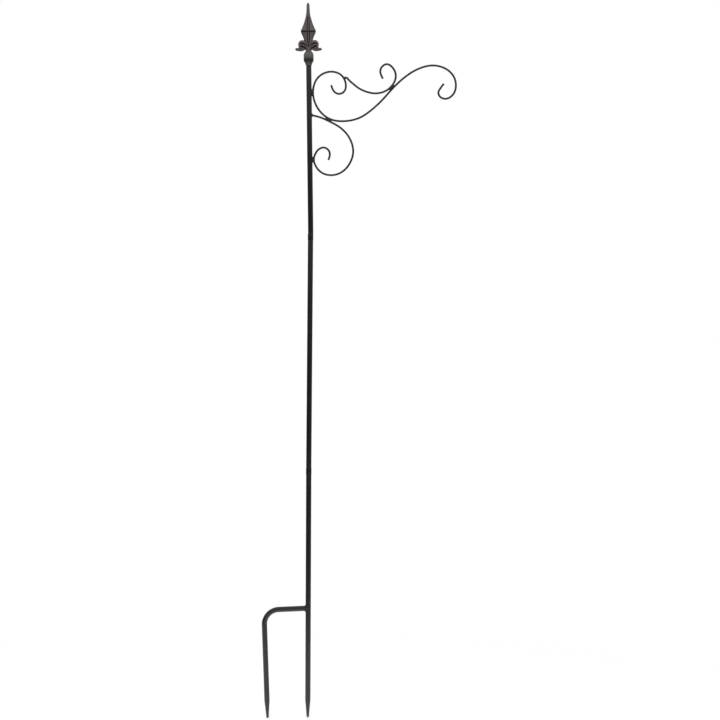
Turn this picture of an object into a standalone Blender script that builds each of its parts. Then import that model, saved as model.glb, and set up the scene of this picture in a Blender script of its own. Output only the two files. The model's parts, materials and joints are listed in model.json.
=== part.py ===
"""Garden lantern hook: a three-section tube pole with a step prong, a hook arm of bent round rod
and a cast finial.

Metres, +Z up, +X from the pole towards the hook arm. The origin is on the bottom section's axis
at the ground line, just under the step bar where that meets the pole."""

import math

import bmesh
import bpy
import numpy as np

MM = 0.001

# Pole tube
POLE_DIAMETER = 16.0 * MM
POLE_WALL = 1.2 * MM
STAKE_DEPTH = 316.5 * MM
STAKE_TOP = 406.4 * MM
MIDDLE_LENGTH = 678.5 * MM
UPPER_LENGTH = 526.7 * MM

# Swaged points that go into the soil
POINT_LENGTH = 52.0 * MM
POINT_DIAMETER = 7.0 * MM
POINT_ROUNDING = 2.2 * MM

# Couplers between the sections, and the lean that each loose fit allows
COLLAR_STEP = 0.4 * MM
COLLAR_LENGTH = 21.5 * MM
COLLAR_CHAMFER = 0.6 * MM
SPIGOT_LENGTH = 40.0 * MM
SPIGOT_CHAMFER = 1.5 * MM
RUNNING_PLAY = 0.15 * MM
SEAT_GAP = 0.3 * MM
MIDDLE_LEAN = math.radians(0.22)
UPPER_LEAN = math.radians(-0.90)

# Side prong with its step bar
PRONG_REACH = 132.5 * MM
PRONG_LENGTH = 322.0 * MM
PRONG_BEND = 44.0 * MM
PRONG_TURN = math.radians(89.4)
STEP_BAR_HEIGHT = 8.5 * MM
PRONG_TILT = math.radians(2.8)

# Hook arm of round rod
ROD_DIAMETER = 6.35 * MM
ROD_END_CHAMFER = 0.6 * MM
ARM_REACH = 442.0 * MM
HOOK_DROP = 102.6 * MM
ACCENT_END_GAP = 1.6 * MM

# Welds
WELD_THROAT = 0.3 * MM
BEAD_LENGTH = 22.0 * MM
BEAD_SPAN = 9.4 * MM
BEAD_SWELL = 0.95 * MM
END_BEAD_LENGTH = 7.5 * MM
FILLET_LEG = 3.2 * MM

# Cast finial
FINIAL_HEIGHT = 187.7 * MM
FINIAL_SPREAD = 80.0 * MM
SPEAR_WIDTH = 46.5 * MM
SPEAR_DEPTH = 25.0 * MM
BALL_SWELL = 6.4 * MM
STEM_DIAMETER = 19.1 * MM
LEAF_THICKNESS = 8.6 * MM
LEAF_BREADTH = 15.0 * MM
SOCKET_DEPTH = 26.4 * MM
SOCKET_LIP = 0.5 * MM

# How far a cutter runs past what it cuts
OVERRUN = 6.0 * MM

# How finely round shapes are divided
TUBE_SIDES = 32
ROD_SIDES = 12
RIDGE_SIDES = 10
BEAD_SIDES = 14
BEAD_RINGS = 8
DENSE_STEPS = 900
HALVINGS = 24
TURN_PER_STEP = math.radians(11.0)
RIDGE_TURN_PER_STEP = math.radians(18.0)
LONGEST_STEP = 26.0 * MM
SHARP_EDGE = math.radians(32.0)

# Points of each scroll's centreline: shares of the arm's span, across from the line on which the
# curls meet the pole and up from the height at which the hook scroll meets it
HOOK_SHARES = [
    (0.1275, 0.0405),
    (0.147, -0.004),
    (0.182, -0.022),
    (0.220, -0.002),
    (0.230, 0.039),
    (0.203, 0.105),
    (0.128, 0.134),
    (0.036, 0.094),
    (0.000, 0.000),
    (0.034, -0.124),
    (0.116, -0.197),
    (0.220, -0.213),
    (0.323, -0.191),
    (0.411, -0.134),
    (0.477, -0.075),
    (0.548, 0.002),
    (0.624, 0.074),
    (0.681, 0.116),
    (0.740, 0.147),
    (0.840, 0.169),
    (0.935, 0.142),
    (0.987, 0.087),
    (1.000, 0.029),
    (0.982, -0.032),
    (0.922, -0.065),
    (0.885, -0.046),
    (0.877, -0.020),
    (0.890, 0.007),
    (0.916, 0.041),
]
ACCENT_SHARES = [
    (0.219, 0.095),
    (0.229, 0.096),
    (0.237, 0.091),
    (0.249, 0.077),
    (0.270, 0.057),
    (0.299, 0.032),
    (0.333, 0.0085),
    (0.370, -0.008),
    (0.438, -0.021),
    (0.511, -0.003),
    (0.552, 0.031),
    (0.580, 0.094),
    (0.562, 0.153),
    (0.514, 0.182),
    (0.474, 0.145),
    (0.490, 0.080),
]
BRACKET_SHARES = [
    (-0.040, -0.163),
    (0.049, -0.185),
    (0.117, -0.216),
    (0.186, -0.257),
    (0.239, -0.312),
    (0.272, -0.388),
    (0.276, -0.423),
    (0.256, -0.499),
    (0.199, -0.566),
    (0.123, -0.590),
    (0.052, -0.570),
    (0.009, -0.517),
    (0.000, -0.480),
    (0.011, -0.439),
    (0.034, -0.409),
    (0.068, -0.396),
    (0.099, -0.410),
    (0.112, -0.437),
    (0.101, -0.484),
]

# How much of a scroll, from its start, is left out where only the rest of it touches a neighbour
BENT_START_SHARE = 0.33

# Where round a bar's end its weld begins, and how much of the weld's leg its thin edge has
SADDLE_SHARE = 0.33
THIN_EDGE_SHARE = 0.33

# Ball of the finial: shares of its swell beyond its rim, and of the finial's height
BALL_SHARES = [
    (0.21, 0.029),
    (0.53, 0.047),
    (0.78, 0.065),
    (0.95, 0.086),
    (1.00, 0.117),
    (0.97, 0.150),
    (0.88, 0.174),
    (0.68, 0.194),
    (0.36, 0.210),
]

# Stem above the ball: shares of its radius and of the finial's height
STEM_SHARES = [(1.00, 0.220), (1.00, 0.260), (0.85, 0.299), (0.50, 0.339)]

# Spear of the finial: shares of its height, of half its width and of half its depth
SPEAR_SHARES = [
    (0.269, 0.40, 0.74),
    (0.325, 0.46, 0.76),
    (0.373, 0.53, 0.78),
    (0.410, 0.60, 0.80),
    (0.452, 0.71, 0.83),
    (0.500, 0.875, 0.86),
    (0.526, 0.92, 0.88),
    (0.533, 1.00, 1.00),
    (0.554, 1.00, 1.00),
    (0.567, 0.98, 0.98),
    (0.586, 0.90, 0.92),
    (0.628, 0.726, 0.80),
    (0.691, 0.54, 0.67),
    (0.755, 0.386, 0.55),
    (0.818, 0.283, 0.46),
    (0.883, 0.231, 0.40),
    (0.946, 0.208, 0.36),
    (0.969, 0.174, 0.30),
    (0.987, 0.116, 0.20),
]
SPEAR_FOOT_SHARE = 0.245

# One quarter of the spear's plan, from its side face to the rib down the middle of its front
PLAN_SHARES = [(1.00, 0.50), (0.80, 0.80), (0.34, 0.90), (0.17, 0.72), (0.00, 1.00)]

# Curled rim and lower lip of a leaf: shares of half the spread, of the height, of the leaf's
# thickness and of its breadth
RIM_SHARES = [
    (0.19, 0.317, 0.85, 0.90),
    (0.30, 0.363, 0.90, 1.00),
    (0.43, 0.381, 0.97, 1.00),
    (0.575, 0.374, 1.00, 1.00),
    (0.664, 0.347, 0.97, 0.97),
    (0.664, 0.315, 0.90, 0.92),
    (0.649, 0.290, 0.87, 0.88),
    (0.73, 0.260, 0.85, 0.80),
    (0.86, 0.254, 0.80, 0.65),
    (0.985, 0.262, 0.60, 0.40),
]
LIP_SHARES = [
    (0.716, 0.255, 0.50, 0.60),
    (0.597, 0.245, 0.62, 0.75),
    (0.448, 0.252, 0.62, 0.80),
    (0.313, 0.266, 0.62, 0.80),
    (0.209, 0.293, 0.62, 0.80),
]

# The thinner metal inside the curl, and the raised knot in it
WEB_SHARES = [
    (0.00, 0.262),
    (0.239, 0.270),
    (0.448, 0.252),
    (0.612, 0.245),
    (0.70, 0.262),
    (0.657, 0.293),
    (0.664, 0.325),
    (0.642, 0.356),
    (0.522, 0.379),
    (0.373, 0.376),
    (0.187, 0.373),
    (0.00, 0.373),
]
WEB_DEPTH_SHARE = 0.55
VOLUTE_SHARES = (0.433, 0.315)
VOLUTE_WIDTH_SHARE = 0.17
VOLUTE_HEIGHT_SHARE = 0.016
VOLUTE_DEPTH_SHARE = 0.44

# Finishes: colour, roughness and metallic
COATED_POLE = ("2B2928", 0.44, 0.0)
COATED_ROD = ("2A2827", 0.46, 0.0)
COATED_WELD = ("242221", 0.60, 0.0)
COATED_COUPLER = ("302E2D", 0.40, 0.0)
COATED_CASTING = ("4A4341", 0.58, 0.0)

pole_radius = POLE_DIAMETER / 2
bore_radius = pole_radius - POLE_WALL
rod_radius = ROD_DIAMETER / 2
most_lean = max(abs(MIDDLE_LEAN), abs(UPPER_LEAN - MIDDLE_LEAN))
spigot_radius = bore_radius - RUNNING_PLAY - SPIGOT_LENGTH / 2 * math.sin(most_lean)
end_gap = SEAT_GAP + pole_radius * math.sin(most_lean)
collar_radius = pole_radius + COLLAR_STEP
weld_root = SEAT_GAP + WELD_THROAT + SEAT_GAP
rod_spacing = ROD_DIAMETER + weld_root
bead_depth = ROD_DIAMETER + BEAD_SWELL * 2
contact_line = pole_radius + weld_root + rod_radius
arm_span = ARM_REACH - rod_radius - contact_line
hook_height = UPPER_LENGTH - HOOK_DROP
socket_radius = pole_radius + SEAT_GAP


# Scene, materials and mesh helpers
def clear_scene():
    for obj in list(bpy.data.objects):
        bpy.data.objects.remove(obj, do_unlink=True)


def linear(channel):
    """One sRGB channel, 0 to 1, as linear light."""
    if channel <= 0.04045:
        return channel / 12.92
    return ((channel + 0.055) / 1.055) ** 2.4


def finish(obj, look):
    """Gives the object its own material from a colour, a roughness and a metallic value."""
    colour, roughness, metallic = look
    material = bpy.data.materials.new(obj.name + "_finish")
    material.use_nodes = True
    shader = material.node_tree.nodes["Principled BSDF"]
    channels = [linear(int(colour[at : at + 2], 16) / 255) for at in (0, 2, 4)]
    shader.inputs["Base Color"].default_value = (*channels, 1.0)
    shader.inputs["Roughness"].default_value = roughness
    shader.inputs["Metallic"].default_value = metallic
    material.diffuse_color = (*channels, 1.0)
    obj.data.materials.clear()
    obj.data.materials.append(material)


def skin(name, rings, looped=False):
    """A closed mesh over a row of rings, each of one point or of as many points as the others.
    Where it is looped, the last ring joins the first. Otherwise both ends are capped."""
    mesh = bmesh.new()
    rows = [[mesh.verts.new(point) for point in ring] for ring in rings]
    above = rows[1:] + rows[:1] if looped else rows[1:]
    for low, high in zip(rows, above):
        sides = max(len(low), len(high))
        for side in range(sides):
            after = (side + 1) % sides
            lower = [low[side % len(low)], low[after % len(low)]]
            upper = [high[after % len(high)], high[side % len(high)]]
            mesh.faces.new(list(dict.fromkeys(lower + upper)))
    for ring in (rows[0], rows[-1]):
        if len(ring) > 1 and not looped:
            mesh.faces.new(ring)
    bmesh.ops.recalc_face_normals(mesh, faces=mesh.faces)
    data = bpy.data.meshes.new(name)
    mesh.to_mesh(data)
    mesh.free()
    obj = bpy.data.objects.new(name, data)
    bpy.context.scene.collection.objects.link(obj)
    return obj


def shade_round(obj):
    """Smooth faces, with an edge kept sharp where it turns by more than the sharp angle."""
    mesh = bmesh.new()
    mesh.from_mesh(obj.data)
    for face in mesh.faces:
        face.smooth = True
    for edge in mesh.edges:
        edge.smooth = edge.calc_face_angle(0) < SHARP_EDGE
    mesh.to_mesh(obj.data)
    mesh.free()


def combine(obj, other, operation):
    """Cuts the other object from this one or joins it on, and removes the other object."""
    step = obj.modifiers.new(operation.lower(), "BOOLEAN")
    step.operation = operation
    step.solver = "EXACT"
    step.object = other
    bpy.context.view_layer.update()
    graph = bpy.context.evaluated_depsgraph_get()
    made = bpy.data.meshes.new_from_object(obj.evaluated_get(graph))
    obj.modifiers.clear()
    obj.data = made
    bpy.data.objects.remove(other, do_unlink=True)


# Round shapes
def circle_ring(radius, height, sides):
    """Points of a level circle round the Z axis, or its centre where the radius is zero."""
    if radius == 0:
        return [(0, 0, height)]
    angles = (np.arange(sides) + 0.5) * math.tau / sides
    return [(radius * math.cos(a), radius * math.sin(a), height) for a in angles]


def turned(name, profile, sides=TUBE_SIDES):
    """A profile of (radius, height) pairs turned round the Z axis."""
    return skin(name, [circle_ring(radius, height, sides) for radius, height in profile])


def tangents_of(path):
    """Unit directions along a path of (x, z) points."""
    along = np.gradient(path, axis=0)
    return along / np.linalg.norm(along, axis=1)[:, None]


def path_rings(path, thick, broad, sides):
    """Rings across a path in the XZ plane, with half sizes in that plane and along Y."""
    along = tangents_of(path)
    angles = (np.arange(sides) + 0.5) * math.tau / sides
    rings = []
    for (x, z), (along_x, along_z), a, b in zip(path, along, thick, broad):
        across = a * np.cos(angles)
        deep = b * np.sin(angles)
        rings.append(np.column_stack([x - along_z * across, deep, z + along_x * across]))
    return [ring.tolist() for ring in rings]


def rod(name, path, radius, chamfer=0.0, sides=ROD_SIDES):
    """A round rod along a path, with chamfered ends where a chamfer is given."""
    path = np.asarray(path, float)
    radii = np.full(len(path), radius)
    if chamfer:
        head = path[0] + (path[1] - path[0]) / np.linalg.norm(path[1] - path[0]) * chamfer
        tail = path[-1] + (path[-2] - path[-1]) / np.linalg.norm(path[-2] - path[-1]) * chamfer
        path = np.vstack([path[0], head, path[1:-1], tail, path[-1]])
        radii = np.r_[radius - chamfer, radius, radii[1:-1], radius, radius - chamfer]
    return skin(name, path_rings(path, radii, radii, sides))


def ellipsoid(name, centre, between, along, deep, angle):
    """An ellipsoid at (x, z): half sizes across the joint, along it and in Y, turned in XZ."""
    turn = (np.arange(BEAD_SIDES) + 0.5) * math.tau / BEAD_SIDES
    c, s = math.cos(angle), math.sin(angle)
    rings = []
    for step in range(BEAD_RINGS + 1):
        tilt = math.pi * step / BEAD_RINGS
        girth = math.sin(tilt) if 0 < step < BEAD_RINGS else 0.0
        across = between * girth * np.cos(turn)
        up = along * math.cos(tilt)
        xs = centre[0] + across * c - up * s
        zs = centre[1] + across * s + up * c
        ring = np.column_stack([xs, deep * girth * np.sin(turn), zs])
        rings.append(ring.tolist() if girth else ring[:1].tolist())
    return skin(name, rings)


def plate(name, outline, depth):
    """An outline in the XZ plane given a depth along Y, half of it to each side."""
    front = [(x, -depth / 2, z) for x, z in outline]
    back = [(x, depth / 2, z) for x, z in outline]
    return skin(name, [front, back])


# Paths
def smooth_curve(points):
    """A dense smooth curve through the points: the cubic spline with free ends."""
    points = np.asarray(points, float)
    gaps = np.linalg.norm(np.diff(points, axis=0), axis=1)
    knots = np.r_[0.0, np.cumsum(gaps)]
    count = len(points)
    system = np.eye(count)
    bends = np.zeros((count, 2))
    for at in range(1, count - 1):
        system[at, at - 1] = gaps[at - 1]
        system[at, at] = 2 * (gaps[at - 1] + gaps[at])
        system[at, at + 1] = gaps[at]
        ahead = (points[at + 1] - points[at]) / gaps[at]
        behind = (points[at] - points[at - 1]) / gaps[at - 1]
        bends[at] = 6 * (ahead - behind)
    second = np.linalg.solve(system, bends)
    places = np.linspace(0.0, knots[-1], DENSE_STEPS)
    at = np.clip(np.searchsorted(knots, places) - 1, 0, count - 2)
    gap = gaps[at][:, None]
    behind = (places - knots[at])[:, None]
    ahead = gap - behind
    return (
        (second[at] * ahead**3 + second[at + 1] * behind**3) / (6 * gap)
        + (points[at] / gap - second[at] * gap / 6) * ahead
        + (points[at + 1] / gap - second[at + 1] * gap / 6) * behind
    )


def thinned(curve, turn_per_step=TURN_PER_STEP):
    """A dense curve as fewer points, closer together where it bends more."""
    lengths = np.linalg.norm(np.diff(curve, axis=0), axis=1)
    along = np.diff(curve, axis=0) / lengths[:, None]
    cross = along[:-1, 0] * along[1:, 1] - along[:-1, 1] * along[1:, 0]
    turns = np.r_[0.0, np.abs(np.arcsin(np.clip(cross, -1.0, 1.0)))]
    effort = np.r_[0.0, np.cumsum(turns / turn_per_step + lengths / LONGEST_STEP)]
    wanted = np.linspace(0.0, effort[-1], math.ceil(effort[-1]) + 1)
    return np.column_stack([np.interp(wanted, effort, curve[:, axis]) for axis in (0, 1)])


def scroll_curve(shares):
    """A scroll's dense centreline from its shares."""
    points = np.array(shares) * arm_span + (contact_line, hook_height)
    return smooth_curve(points)


def distances(curve, other):
    """The least distance from each point of a curve to another curve's points."""
    return np.array([np.sqrt(((other - point) ** 2).sum(axis=1)).min() for point in curve])


def later(curve):
    """The curve without its bent start."""
    return curve[int(BENT_START_SHARE * len(curve)) :]


def shift_to_rest(curve, other, towards):
    """How far a scroll moves along a direction for its rod to lie a weld's root from the other."""
    towards = np.asarray(towards, float) / np.linalg.norm(towards)
    near, far = -rod_spacing, rod_spacing
    for _ in range(HALVINGS):
        middle = (near + far) / 2
        if distances(curve + towards * middle, other).min() > rod_spacing:
            near = middle
        else:
            far = middle
    return towards * near


def closest(curve, other):
    """Midway between two curves where they come nearest, and the direction from one to the other."""
    at = distances(curve, other).argmin()
    to = np.sqrt(((other - curve[at]) ** 2).sum(axis=1)).argmin()
    across = other[to] - curve[at]
    return (curve[at] + other[to]) / 2, math.atan2(across[1], across[0])


# Tube sections
def point_profile(base, direction):
    """Outer (radius, height) pairs of a swaged point: from its end to the full tube."""
    end = POINT_DIAMETER / 2
    return [
        (0, base),
        (end - POINT_ROUNDING, base),
        (end, base + direction * POINT_ROUNDING),
        (pole_radius, base + direction * POINT_LENGTH),
    ]


def lower_pole():
    profile = point_profile(-STAKE_DEPTH, 1) + [
        (pole_radius, STAKE_TOP),
        (bore_radius, STAKE_TOP),
        (bore_radius, POINT_LENGTH - STAKE_DEPTH),
        (0, POINT_LENGTH - STAKE_DEPTH),
    ]
    obj = turned("lower_pole", profile)
    finish(obj, COATED_POLE)
    return obj


def open_tube(name, length):
    """A tube open at both ends, standing on its frame's XY plane."""
    corners = [(bore_radius, 0), (pole_radius, 0), (pole_radius, length), (bore_radius, length)]
    rings = [circle_ring(radius, height, TUBE_SIDES) for radius, height in corners]
    obj = skin(name, rings, looped=True)
    finish(obj, COATED_POLE)
    return obj


def coupler(name):
    """A turned coupler: its frame's XY plane is the collar's lower face."""
    tip = spigot_radius - SPIGOT_CHAMFER
    edge = collar_radius - COLLAR_CHAMFER
    top = COLLAR_LENGTH + SPIGOT_LENGTH
    profile = [
        (0, -SPIGOT_LENGTH),
        (tip, -SPIGOT_LENGTH),
        (spigot_radius, SPIGOT_CHAMFER - SPIGOT_LENGTH),
        (spigot_radius, 0),
        (edge, 0),
        (collar_radius, COLLAR_CHAMFER),
        (collar_radius, COLLAR_LENGTH - COLLAR_CHAMFER),
        (edge, COLLAR_LENGTH),
        (spigot_radius, COLLAR_LENGTH),
        (spigot_radius, top - SPIGOT_CHAMFER),
        (tip, top),
        (0, top),
    ]
    obj = turned(name, profile)
    finish(obj, COATED_COUPLER)
    return obj


# Side prong
def prong_place(x, z):
    """A point of the untilted prong, tilted about the step bar's end at the pole."""
    c, s = math.cos(PRONG_TILT), math.sin(PRONG_TILT)
    return (x * c - z * s, STEP_BAR_HEIGHT + x * s + z * c)


def leg_point(distance):
    """A point of the untilted prong's leg, at a distance from the corner of its two centrelines."""
    return (-PRONG_REACH - distance * math.cos(PRONG_TURN), -distance * math.sin(PRONG_TURN))


def prong_path():
    """From inside the pole along the step bar, round the bend and down to the point's root."""
    steps = math.ceil(PRONG_TURN / TURN_PER_STEP)
    from_corner = PRONG_BEND * math.tan(PRONG_TURN / 2)
    points = [(-pole_radius / 2, 0)]
    for step in range(steps + 1):
        turn = PRONG_TURN * step / steps
        x = from_corner - PRONG_REACH - PRONG_BEND * math.sin(turn)
        points.append((x, PRONG_BEND * math.cos(turn) - PRONG_BEND))
    points.append(leg_point(PRONG_LENGTH - POINT_LENGTH))
    return [prong_place(x, z) for x, z in points]


def side_prong():
    root = prong_path()
    end = POINT_DIAMETER / 2
    tip_lengths = (PRONG_LENGTH - POINT_ROUNDING, PRONG_LENGTH)
    path = np.array(root + [prong_place(*leg_point(length)) for length in tip_lengths])
    outer = np.r_[np.full(len(root), pole_radius), end, end - POINT_ROUNDING]
    inner = np.full(len(root), bore_radius)
    shell = path_rings(path, outer, outer, TUBE_SIDES)
    bore = path_rings(np.array(root), inner, inner, TUBE_SIDES)
    cap = [(path[-1][0], 0, path[-1][1])]
    floor = [(root[-1][0], 0, root[-1][1])]
    obj = skin("side_prong", [floor] + bore[::-1] + shell + [cap])
    combine(obj, pole_cutter(-STAKE_DEPTH / 2, STAKE_TOP / 2), "DIFFERENCE")
    finish(obj, COATED_POLE)
    return obj


def prong_weld():
    inner = np.array(prong_place(0, 0))
    outer = np.array(prong_place(-PRONG_REACH, 0))
    cutter = rod("bar_cutter", [inner, outer], pole_radius + SEAT_GAP, sides=TUBE_SIDES)
    return saddle_weld("prong_weld", inner, outer, pole_radius, cutter)


def cylinder(name, radius, bottom, top):
    return turned(name, [(0, bottom), (radius, bottom), (radius, top), (0, top)])


def pole_cutter(bottom, top):
    """A cylinder that leaves the seating gap round the pole."""
    return cylinder("pole_cutter", pole_radius + SEAT_GAP, bottom, top)


def saddle_weld(name, inner, outer, radius, cutter):
    """The weld round a bar that runs from a point on the pole's axis outwards. The cutter is the
    bar with the seating gap round it."""
    along = (outer - inner) / np.linalg.norm(outer - inner)
    places = (pole_radius * SADDLE_SHARE, pole_radius, pole_radius + FILLET_LEG)
    path = np.array([inner + along * place for place in places])
    broad = radius + FILLET_LEG
    sizes = np.array([broad, broad, radius + FILLET_LEG * THIN_EDGE_SHARE])
    obj = skin(name, path_rings(path, sizes, sizes, TUBE_SIDES))
    low, high = inner[1] - broad - OVERRUN, inner[1] + broad + OVERRUN
    combine(obj, cylinder("hull", pole_radius + FILLET_LEG, low, high), "INTERSECT")
    combine(obj, pole_cutter(low - OVERRUN, high + OVERRUN), "DIFFERENCE")
    combine(obj, cutter, "DIFFERENCE")
    finish(obj, COATED_WELD)
    return obj


# Scroll rods
def scroll_curves():
    """Dense centrelines of the three scrolls, each resting against what it is welded to. The
    bracket starts on the pole's axis, and the accent where it clears the hook's curl."""
    hook = scroll_curve(HOOK_SHARES)
    bracket = scroll_curve(BRACKET_SHARES)
    bracket = bracket + shift_to_rest(bracket, hook, (0, 1))
    bracket = bracket[(bracket[:, 0] > 0).argmax() :]
    accent = scroll_curve(ACCENT_SHARES)
    accent = accent + shift_to_rest(later(accent), hook, (1, -1))
    clear = distances(accent, hook) >= ROD_DIAMETER + ACCENT_END_GAP
    return hook, accent[clear.argmax() :], bracket


def scroll_rods(hook, accent, bracket):
    made = []
    for name, curve in (("hook_scroll", hook), ("accent_scroll", accent), ("bracket_scroll", bracket)):
        obj = rod(name, thinned(curve), rod_radius, ROD_END_CHAMFER)
        made.append(obj)
    combine(made[-1], pole_cutter(0, UPPER_LENGTH), "DIFFERENCE")
    for obj in made:
        finish(obj, COATED_ROD)
    return made


def rod_cutter(curve):
    """A scroll's rod with the seating gap round it."""
    return rod("rod_cutter", thinned(curve), rod_radius + SEAT_GAP)


def bead(name, centre, angle, span, length, cutters):
    """A weld bead between two pieces: its span reaches over both, its length follows the joint."""
    obj = ellipsoid(name, centre, span / 2, length / 2, bead_depth / 2, angle)
    for cutter in cutters:
        combine(obj, cutter, "DIFFERENCE")
    finish(obj, COATED_WELD)
    return obj


def pole_bead(name, curve, touching):
    """The bead where a scroll lies against the pole."""
    height = touching[touching[:, 0].argmin()][1]
    centre = (pole_radius + weld_root / 2, height)
    cutters = [rod_cutter(curve), pole_cutter(0, UPPER_LENGTH)]
    return bead(name, centre, 0.0, BEAD_SPAN, BEAD_LENGTH, cutters)


def rod_bead(name, curve, touching, hook):
    """The bead where a scroll lies against the hook scroll."""
    centre, angle = closest(touching, hook)
    return bead(name, centre, angle, BEAD_SPAN, BEAD_LENGTH, [rod_cutter(curve), rod_cutter(hook)])


def end_bead(hook, accent):
    """The bead between the accent's bent start and the hook's curl."""
    centre, angle = closest(accent[:1], hook)
    cutters = [rod_cutter(accent), rod_cutter(hook)]
    return bead("accent_end_weld", centre, angle, END_BEAD_LENGTH, bead_depth, cutters)


def bracket_end_weld(bracket):
    """The weld round the bracket's end, where it runs into the pole."""
    outside = (bracket[:, 0] > pole_radius + FILLET_LEG).argmax()
    cutter = rod_cutter(bracket)
    return saddle_weld("bracket_pole_weld", bracket[0], bracket[outside], rod_radius, cutter)


def arm_welds(hook, accent, bracket):
    return [
        pole_bead("hook_pole_weld", hook, hook),
        pole_bead("curl_pole_weld", bracket, later(bracket)),
        rod_bead("bracket_hook_weld", bracket, bracket, hook),
        rod_bead("accent_hook_weld", accent, later(accent), hook),
        end_bead(hook, accent),
        bracket_end_weld(bracket),
    ]


# Finial
def spear():
    """The spear: one fluted plan, wider or narrower at each height."""
    front = PLAN_SHARES + [(-x, y) for x, y in PLAN_SHARES[-2::-1]]
    plan = np.array(front + [(x, -y) for x, y in front[::-1]])
    rings = [[(0, 0, SPEAR_FOOT_SHARE * FINIAL_HEIGHT)]]
    for up, wide, deep in SPEAR_SHARES:
        outline = plan * (wide * SPEAR_WIDTH / 2, deep * SPEAR_DEPTH / 2)
        rings.append([(x, y, up * FINIAL_HEIGHT) for x, y in outline])
    rings.append([(0, 0, FINIAL_HEIGHT)])
    return skin("finial", rings)


def ball_and_stem():
    rim = socket_radius + SOCKET_LIP
    profile = [(0, 0), (rim, 0)]
    profile += [(rim + out * BALL_SWELL, up * FINIAL_HEIGHT) for out, up in BALL_SHARES]
    profile += [(share * STEM_DIAMETER / 2, up * FINIAL_HEIGHT) for share, up in STEM_SHARES]
    profile += [(0, STEM_SHARES[-1][1] * FINIAL_HEIGHT)]
    return turned("ball", profile)


def ridge(side, shares):
    """A curled rim or lip of the leaf to one side, from its shares."""
    half = FINIAL_SPREAD / 2
    curve = smooth_curve([(side * across * half, up * FINIAL_HEIGHT) for across, up, _, _ in shares])
    path = thinned(curve, RIDGE_TURN_PER_STEP)
    along = np.linspace(0.0, 1.0, len(path))
    knots = np.linspace(0.0, 1.0, len(shares))
    thick = np.interp(along, knots, [t * LEAF_THICKNESS / 2 for _, _, t, _ in shares])
    broad = np.interp(along, knots, [b * LEAF_BREADTH / 2 for _, _, _, b in shares])
    return skin("ridge", path_rings(path, thick, broad, RIDGE_SIDES))


def web(side):
    """The thinner metal inside a leaf's curl."""
    half = FINIAL_SPREAD / 2
    outline = [(side * across * half, up * FINIAL_HEIGHT) for across, up in WEB_SHARES]
    return plate("web", outline, WEB_DEPTH_SHARE * LEAF_BREADTH)


def volute(side):
    """The raised knot inside a leaf's curl."""
    across, up = VOLUTE_SHARES
    half = FINIAL_SPREAD / 2
    centre = (side * across * half, up * FINIAL_HEIGHT)
    height = VOLUTE_HEIGHT_SHARE * FINIAL_HEIGHT
    depth = VOLUTE_DEPTH_SHARE * LEAF_BREADTH
    return ellipsoid("volute", centre, VOLUTE_WIDTH_SHARE * half, height, depth, 0.0)


def finial():
    """The finial casting, standing on its frame's XY plane."""
    obj = spear()
    combine(obj, ball_and_stem(), "UNION")
    for side in (-1, 1):
        for piece in (web(side), ridge(side, RIM_SHARES), ridge(side, LIP_SHARES), volute(side)):
            combine(obj, piece, "UNION")
    combine(obj, cylinder("socket", socket_radius, -OVERRUN, SOCKET_DEPTH), "DIFFERENCE")
    finish(obj, COATED_CASTING)
    return obj


# Assembly
def frame_empty(name, parent, height, lean):
    """An empty on a section's axis, about which the section above a coupler turns."""
    empty = bpy.data.objects.new(name, None)
    bpy.context.scene.collection.objects.link(empty)
    empty.parent = parent
    empty.location = (0, 0, height)
    empty.rotation_euler = (0, lean, 0)
    return empty


def hang(obj, parent, height):
    """Parents a piece to a section's empty at a height along that section's axis."""
    obj.parent = parent
    obj.location = (0, 0, height)


def bottom_section():
    """The bottom section, and the turned coupler that stands in its open end."""
    lower = coupler("lower_coupler")
    lower.location = (0, 0, STAKE_TOP + SEAT_GAP)
    return [lower_pole(), side_prong(), prong_weld(), lower]


def middle_section(middle_turn, foot):
    """The middle section, and the coupler in its top."""
    tube = open_tube("middle_pole", MIDDLE_LENGTH)
    hang(tube, middle_turn, foot)
    upper = coupler("upper_coupler")
    hang(upper, middle_turn, foot + MIDDLE_LENGTH + SEAT_GAP)
    return [tube, upper]


def upper_section(upper_turn, foot):
    """The top tube with its finial and its arm of three scrolls."""
    tube = open_tube("upper_pole", UPPER_LENGTH)
    hang(tube, upper_turn, foot)
    top = finial()
    hang(top, upper_turn, foot + UPPER_LENGTH - SOCKET_DEPTH + SEAT_GAP)
    curves = scroll_curves()
    arm = scroll_rods(*curves) + arm_welds(*curves)
    for obj in arm:
        hang(obj, upper_turn, foot)
    return [tube, top] + arm


def main():
    clear_scene()
    foot = end_gap - SPIGOT_LENGTH / 2
    above_collar = COLLAR_LENGTH + SPIGOT_LENGTH / 2
    middle_height = STAKE_TOP + SEAT_GAP + above_collar
    middle_turn = frame_empty("middle_turn", None, middle_height, MIDDLE_LEAN)
    upper_height = foot + MIDDLE_LENGTH + SEAT_GAP + above_collar
    upper_turn = frame_empty("upper_turn", middle_turn, upper_height, UPPER_LEAN - MIDDLE_LEAN)
    made = bottom_section() + middle_section(middle_turn, foot) + upper_section(upper_turn, foot)
    for obj in made:
        shade_round(obj)


main()
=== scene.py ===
"""Garden lantern hook: the coated tubes, bent rods, weld beads and cast finial as fine surfaces,
with their finishes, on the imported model.

Metres, +Z up, +X from the pole towards the hook arm, the origin at the ground line. Each section of
the pole has a frame of its own: its origin at the foot of the section's tube, its Z along the tube."""

import json
import math

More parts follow.
